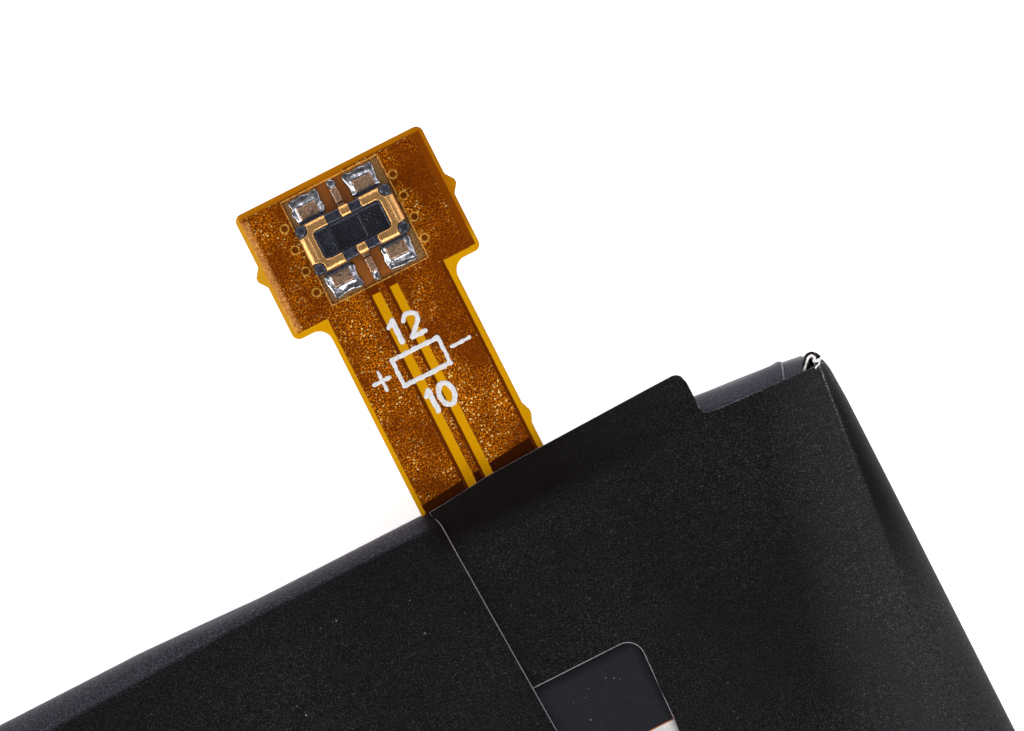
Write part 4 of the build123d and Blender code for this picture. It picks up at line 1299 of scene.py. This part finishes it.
def housingHeight(places):
    spots = places - connectorSpot
    inside = -bodyGap(spots)
    level = bodyTop - rollOff(np.maximum(inside, 0), plug["edge"])
    level = np.where(inside < 0, baseLevel + plug["guardRise"], level)
    left, right, reach = plug["pocket"]
    pocket = smoothStep(-roundBox(spots, (left, -reach), (right, reach), 0.04) / 0.03 + 0.5)
    floor = baseLevel + plug["floor"] - plug["pocketDeep"] * pocket
    ribX, ribWidth, ribRise = plug["rib"]
    floor = floor + ribRise * np.exp(-((spots[:, 0] - ribX) / ribWidth) ** 2) * pocket
    markLeft, markRight, markLow, markHigh = plug["marks"]
    marks = smoothStep(-roundBox(spots, (markLeft, markLow), (markRight, markHigh), 0.1) / 0.08)
    floor = floor + 0.004 * rippleAt(spots, 71, 0.3)
    floor = floor + plug["markRise"] * rippleAt(spots, 77, 0.11) * marks
    floor = floor + plug["ledge"] * smoothStep((left - spots[:, 0]) / 0.05) - 0.01
    deep = smoothStep(-recessGap(spots) / 0.05 + 0.2)
    level = level * (1 - deep) + floor * deep
    # lower under the plates' ends, which fold down over the end walls
    away = np.abs(spots)
    underPlate = (away[:, 0] > plug["endWall"]) & (away[:, 1] < plug["plateEndHalf"] - 0.02)
    level = np.where(underPlate, level - plug["endWallDrop"], level)
    knob = knobGap(spots) / plug["knobRadius"]
    dome = bodyTop + plug["knobRise"] * np.sqrt(np.maximum(0, 1 - knob ** 2))
    return np.where(knob < 1, np.maximum(level, dome), level)


def onConnector(name, gap, height, xs, ys, material, replaced, base=None):
    # xs and ys are the sides it lies between, in either order
    low = connectorSpot + (min(xs), min(ys)) - 0.05
    high = connectorSpot + (max(xs), max(ys)) + 0.05
    piece = cutSheet(name, gap, low, high, plug["step"], height, 0.06, base)
    finishPiece(piece, [material, material], [replaced])


def makePlate(hand, replaced):
    near, far, half = plug["plate"]

    def gap(places):
        spots = np.abs(places - connectorSpot)
        arms = roundBox(spots, (near, 0.3), (far - 0.13, half), 0.02)
        end = roundBox(spots, (1.1, -0.1), (far, plug["plateEndHalf"]), 0.02)
        side = (places - connectorSpot)[:, 0] * hand
        shape = np.minimum(arms, end)
        cuts = np.maximum(-recessGap(spots), plug["knobClear"] - knobGap(spots))
        return np.maximum.reduce([shape, cuts, 0.3 - side])

    def height(places):
        spots = np.abs(places - connectorSpot)
        level = bodyTop + plug["proud"] - rollOff(np.maximum(half - spots[:, 1], 0), plug["plateRoll"])
        level = level - rollOff(np.maximum(far - spots[:, 0], 0), plug["endRoll"])
        level = level - 0.6 * rollOff(np.maximum(recessGap(spots), 0), 0.05)
        level = level - 0.02 * np.exp(-((spots[:, 0] - plug["creaseX"]) / 0.025) ** 2) * (spots[:, 1] < 0.5)
        level = level + 0.002 * ripple(spots[:, 0], places[:, 1], 73, 0.2)
        turned = np.minimum(half - spots[:, 1], far - spots[:, 0]) < plug["turnedWidth"]
        return level - plug["turnedDrop"] * turned

    name = replaced.replace("contact", "plate")
    onConnector(name, gap, height, (hand * 0.5, hand * far), (-half, half), goldPlate, replaced)


def makeSignal(sign, centre, replaced):
    half, near, far = plug["signalHalf"], plug["signalInner"], plug["plate"][2]

    def gap(places):
        spots = (places - connectorSpot) * (1, sign)
        return roundBox(spots, (centre - half, near), (centre + half, far), 0.02)

    def height(places):
        spots = (places - connectorSpot) * (1, sign)
        level = bodyTop + plug["proud"] - rollOff(np.maximum(far - spots[:, 1], 0), plug["plateRoll"])
        level = level - rollOff(np.maximum(spots[:, 1] - near, 0), plug["signalRoll"])
        return level - plug["turnedDrop"] * (far - spots[:, 1] < plug["turnedWidth"])

    name, xs = replaced.replace("contact", "spring"), (centre - half, centre + half)
    onConnector(name, gap, height, xs, (sign * near, sign * far), goldPlate, replaced)


def makeFoot(name, low, high, sign, replaced):
    # low and high are for the side away from the pack
    def gap(places):
        return roundBox((places - connectorSpot) * (1, sign), low, high, 0.04)

    def height(places):
        spots = (places - connectorSpot) * (1, sign)
        level = padLevel + plug["footRise"] - rollOff(np.maximum(-gap(places), 0), plug["footEdge"])
        level = level - 0.05 * smoothStep((1.04 - spots[:, 1]) / 0.06)
        return level + 0.002 * rippleAt(spots, 75, 0.1)

    (left, start), (right, end) = low, high
    ys = (sign * start, sign * end)
    onConnector(name, gap, height, (left, right), ys, footTin, replaced, base=padLevel + 0.01)


reachX, reachY = plug["reach"]
onConnector(
    "moulded_housing", housingGap, housingHeight, (-reachX, reachX), (-reachY, reachY), housingBlack,
    "connector_housing", base=baseLevel,
)
rowSigns = ((1, "upper"), (-1, "lower"))
near, far, footStart, footStop = plug["foot"]
for hand, side in ((-1, "left"), (1, "right")):
    makePlate(hand, f"power_contact_{side}")
    low, high = sorted((hand * near, hand * far))
    for sign, row in rowSigns:
        makeFoot(f"foot_{row}_{side}", (low, footStart), (high, footStop), sign, f"power_contact_{side}")
legHalf, legStart, legStop = plug["leg"]
for sign, row in rowSigns:
    makeSignal(sign, plug["signalX"][row], f"signal_contact_{row}")
    low, high = (solder["signalX"] - legHalf, legStart), (solder["signalX"] + legHalf, legStop)
    makeFoot(f"leg_{row}", low, high, sign, f"signal_contact_{row}")
print("connector made")

# tape that closes the tail end: over the front edge, down the end wall and under; a second layer runs on to
# the corner. The line is its places across the pack and how far it stands behind the pack's end there.
endTape = {
    "line": ([7.0, 7.6, 9.2, 10.45, 10.6, 11.5], [0.65, 0.67, 0.83, 0.91, 0.88, 1.04]),
    "left": -24.0, "end": 10.6, "innerStart": 9.6, "innerEnd": 11.5, "innerDrop": 0.07,
    "thickness": 0.1, "roll": 1.0, "foot": 0.35, "lap": 1.6, "lapSlope": 0.1, "backLap": 1.2, "under": 0.15,
    "proud": 0.07, "wave": (0.012, 2.5), "chamfer": 0.04, "lean": 0.36, "leanFrom": 0.31,
    "slotHalf": 2.5, "slotAbove": 0.11, "slotBelow": 0.16, "slotDeep": 1.4,
}


def tapeLine(x):
    return packEnd - np.interp(x - flexX, *endTape["line"])


def tapeSection(inward):
    # offsets from the line and heights: the lap on the front, the wall and the lap underneath
    roll, foot, drop = endTape["roll"], endTape["foot"], endTape["under"] + inward
    topEdge = wrap["endFront"] + endTape["proud"] - drop
    lap, wall = endTape["lap"] - roll, topEdge - roll - foot - drop
    rise = endTape["lapSlope"] * lap
    section = [(t * lap - endTape["lap"], topEdge + rise * (1 - t)) for t in np.linspace(0, 1, 5)[:-1]]
    for a in np.radians(np.linspace(0, 90, 16)):
        section.append((-roll + roll * math.sin(a), topEdge - roll * (1 - math.cos(a))))
    section += [(0, topEdge - roll - t * wall) for t in np.linspace(0, 1, 6)[1:]]
    for a in np.radians(np.linspace(0, 90, 7)[1:]):
        section.append((-foot * (1 - math.cos(a)), drop + foot * (1 - math.sin(a))))
    return section + [(-endTape["backLap"], drop)]


def makeTape(name, start, end, inward, count):
    # its section is drawn once and carried along the pack's end
    section = tapeSection(inward)
    rise, size = endTape["wave"]
    points, faces = [], []
    for x in np.linspace(start, end, count):
        # the outer layer is cut off at a slant
        lean = 0 if inward else endTape["lean"] * smoothStep(x - end + 1)
        for offset, level in section:
            wave = rise * ripple(x, level, 81, size)
            slant = lean * (offset + endTape["leanFrom"])
            points.append((x + slant, tapeLine(x) - inward + offset + wave, level))
    points = np.array(points)
    slotLow, slotHigh = boxMm("back_coverlay")[0][2] - endTape["slotBelow"], coverTop + endTape["slotAbove"]
    rows = len(section)
    for i in range(count - 1):
        for j in range(rows - 1):
            corner = i * rows + j
            face = (corner, corner + rows, corner + rows + 1, corner + 1)
            spot = points[list(face)].mean(0)
            beside = abs(spot[0] - flexX) >= endTape["slotHalf"] or spot[1] <= packEnd - endTape["slotDeep"]
            if beside or not slotLow < spot[2] < slotHigh:
                faces.append(face)
    piece = makePiece(name, points, faces)
    thicken(piece, endTape["thickness"], endTape["chamfer"], [tapeBlack, cutEdgeHighlight])
    finishPiece(piece, [tapeBlack, cutEdgeHighlight], ["top_wall_tape"])


makeTape("end_tape", endTape["left"], flexX + endTape["end"], 0.0, 180)
makeTape(
    "end_tape_under", flexX + endTape["innerStart"], flexX + endTape["innerEnd"], endTape["innerDrop"], 14,
)
print("end tape made")

# clear film folded at the corner: pleats seen on their edges, and the dark film drawn up behind them. A
# stroke is its points in the tail's own frame and its half width.
pleat = {
    "low": (10.9, -8.8), "high": (12.0, -8.0), "step": 0.018, "top": 4.04, "rise": 0.24, "riseFrom": 11.25,
    "deep": 0.75, "fray": 0.006, "waves": 0.015, "tuckStep": 0.024, "tuckDrop": 0.12, "tuckDeep": 0.6,
    "strokes": [
        ([(11.12, -8.62), (11.33, -8.38), (11.49, -8.20)], 0.032),
        ([(11.49, -8.20), (11.56, -8.16), (11.65, -8.16), (11.71, -8.25), (11.64, -8.37)], 0.0384),
        ([(11.64, -8.36), (11.73, -8.40), (11.82, -8.40)], 0.048),
        ([(11.36, -8.60), (11.52, -8.60), (11.74, -8.52)], 0.0288),
        ([(11.82, -8.40), (11.74, -8.52)], 0.0288),
    ],
    "tuckStrokes": [(
        [(11.30, -8.30), (11.48, -8.12), (11.56, -8.08), (11.68, -8.08), (11.79, -8.17), (11.86, -8.30)],
        0.045,
    )],
}


def pleatGap(places):
    local = places - flexSpot
    fray = pleat["fray"] * rippleAt(local, 91, 0.15)
    return strokeDistance(local, pleat["strokes"]) - fray


def pleatHeight(places):
    local = places - flexSpot
    climb = pleat["rise"] * smoothStep((local[:, 0] - pleat["riseFrom"]) / 0.4)
    return pleat["top"] + climb + pleat["waves"] * rippleAt(local, 93, 0.2)


def tuckGap(places):
    return strokeDistance(places - flexSpot, pleat["tuckStrokes"])


def tuckHeight(places):
    return pleatHeight(places) - pleat["tuckDrop"]


for name, gap, height, step, deep, material in (
    ("corner_pleats", pleatGap, pleatHeight, pleat["step"], pleat["deep"], clearFilmHighlight),
    ("corner_tuck", tuckGap, tuckHeight, pleat["tuckStep"], pleat["tuckDeep"], filmBlack),
):
    folded = cutSheet(name, gap, flexSpot + pleat["low"], flexSpot + pleat["high"], step, height, deep)
    finishPiece(folded, [material, material], ["corner_fold"])
print("corner pleats made")

# floor, lights and camera: the camera's frame and aim in millimetres, the floor and the lights in metres
studio = {
    "lens": 200, "sensor": 36, "frameWidth": 34.13, "turn": -26.8, "aim": (19.51, 44.03, 3.6),
    "floorSize": 2.4, "floor": rgba(244, 244, 244), "floorGlow": 0.7,
    "sky": 0.5, "zenith": 0.15, "lit": (0.0195, 0.044, 0.003),
}


def makeFloor():
    half = studio["floorSize"] / 2 / mm
    corners = [(-half, -half, 0), (half, -half, 0), (half, half, 0), (-half, half, 0)]
    floor = makePiece("studio_floor", corners, [(0, 1, 2, 3)])
    floor.location.z = -0.02 * mm
    material, _, _ = newMaterial("paleFloor", **{
        "Roughness": 0.9, "Base Color": studio["floor"], "Emission Color": (1, 1, 1, 1),
        "Emission Strength": studio["floorGlow"],
    })
    floor.data.materials.append(material)


def addLight(name, place, size, power, colour):
    data = bpy.data.lights.new(name, "AREA")
    data.shape, data.size, data.size_y, data.energy = "RECTANGLE", size[0], size[1], power
    data.color = colour
    lamp = linkPiece(name, data)
    lamp.location = place
    towards = Vector(studio["lit"]) - Vector(place)
    lamp.rotation_euler = towards.to_track_quat("-Z", "Y").to_euler()


def makeWorld():
    world = bpy.data.worlds.new("softStudio")
    world.use_nodes = True
    tree = world.node_tree
    background = tree.nodes["Background"]
    up = add(tree, "SeparateXYZ", {"Vector": add(tree, "TexCoord").outputs["Generated"]}).outputs[2]
    level = remap(tree, up, 0.55, 1.0, studio["sky"], studio["zenith"])
    tree.links.new(level, background.inputs["Strength"])
    background.inputs["Color"].default_value = (1, 1, 1, 1)
    bpy.context.scene.world = world


def makeCamera():
    data = bpy.data.cameras.new("camera")
    data.lens, data.sensor_width = studio["lens"], studio["sensor"]
    distance = studio["frameWidth"] * studio["lens"] / studio["sensor"]
    camera = linkPiece("camera", data)
    camera.location = (Vector(studio["aim"]) + Vector((0, 0, distance))) * mm
    camera.rotation_euler = (0, 0, math.radians(studio["turn"]))
    data.clip_start, data.clip_end = 0.01, 10
    bpy.context.scene.camera = camera


makeFloor()
makeWorld()
# place, size, power and colour, all turned towards the corner
cool, white = (0.93, 0.91, 1.0), (1, 1, 1)
addLight("softLeft", (-0.56, 0.0, 0.30), (0.35, 0.3), 2.1, white)
addLight("softEnd", (0.22, 0.62, 0.26), (0.4, 0.3), 1.6, cool)
addLight("softFront", (0.0, -0.56, 0.34), (0.4, 0.3), 2.8, white)
addLight("softRight", (0.60, -0.06, 0.30), (0.35, 0.3), 0.9, cool)
makeCamera()
bpy.context.scene.view_settings.view_transform = "Standard"
print("studio ready")
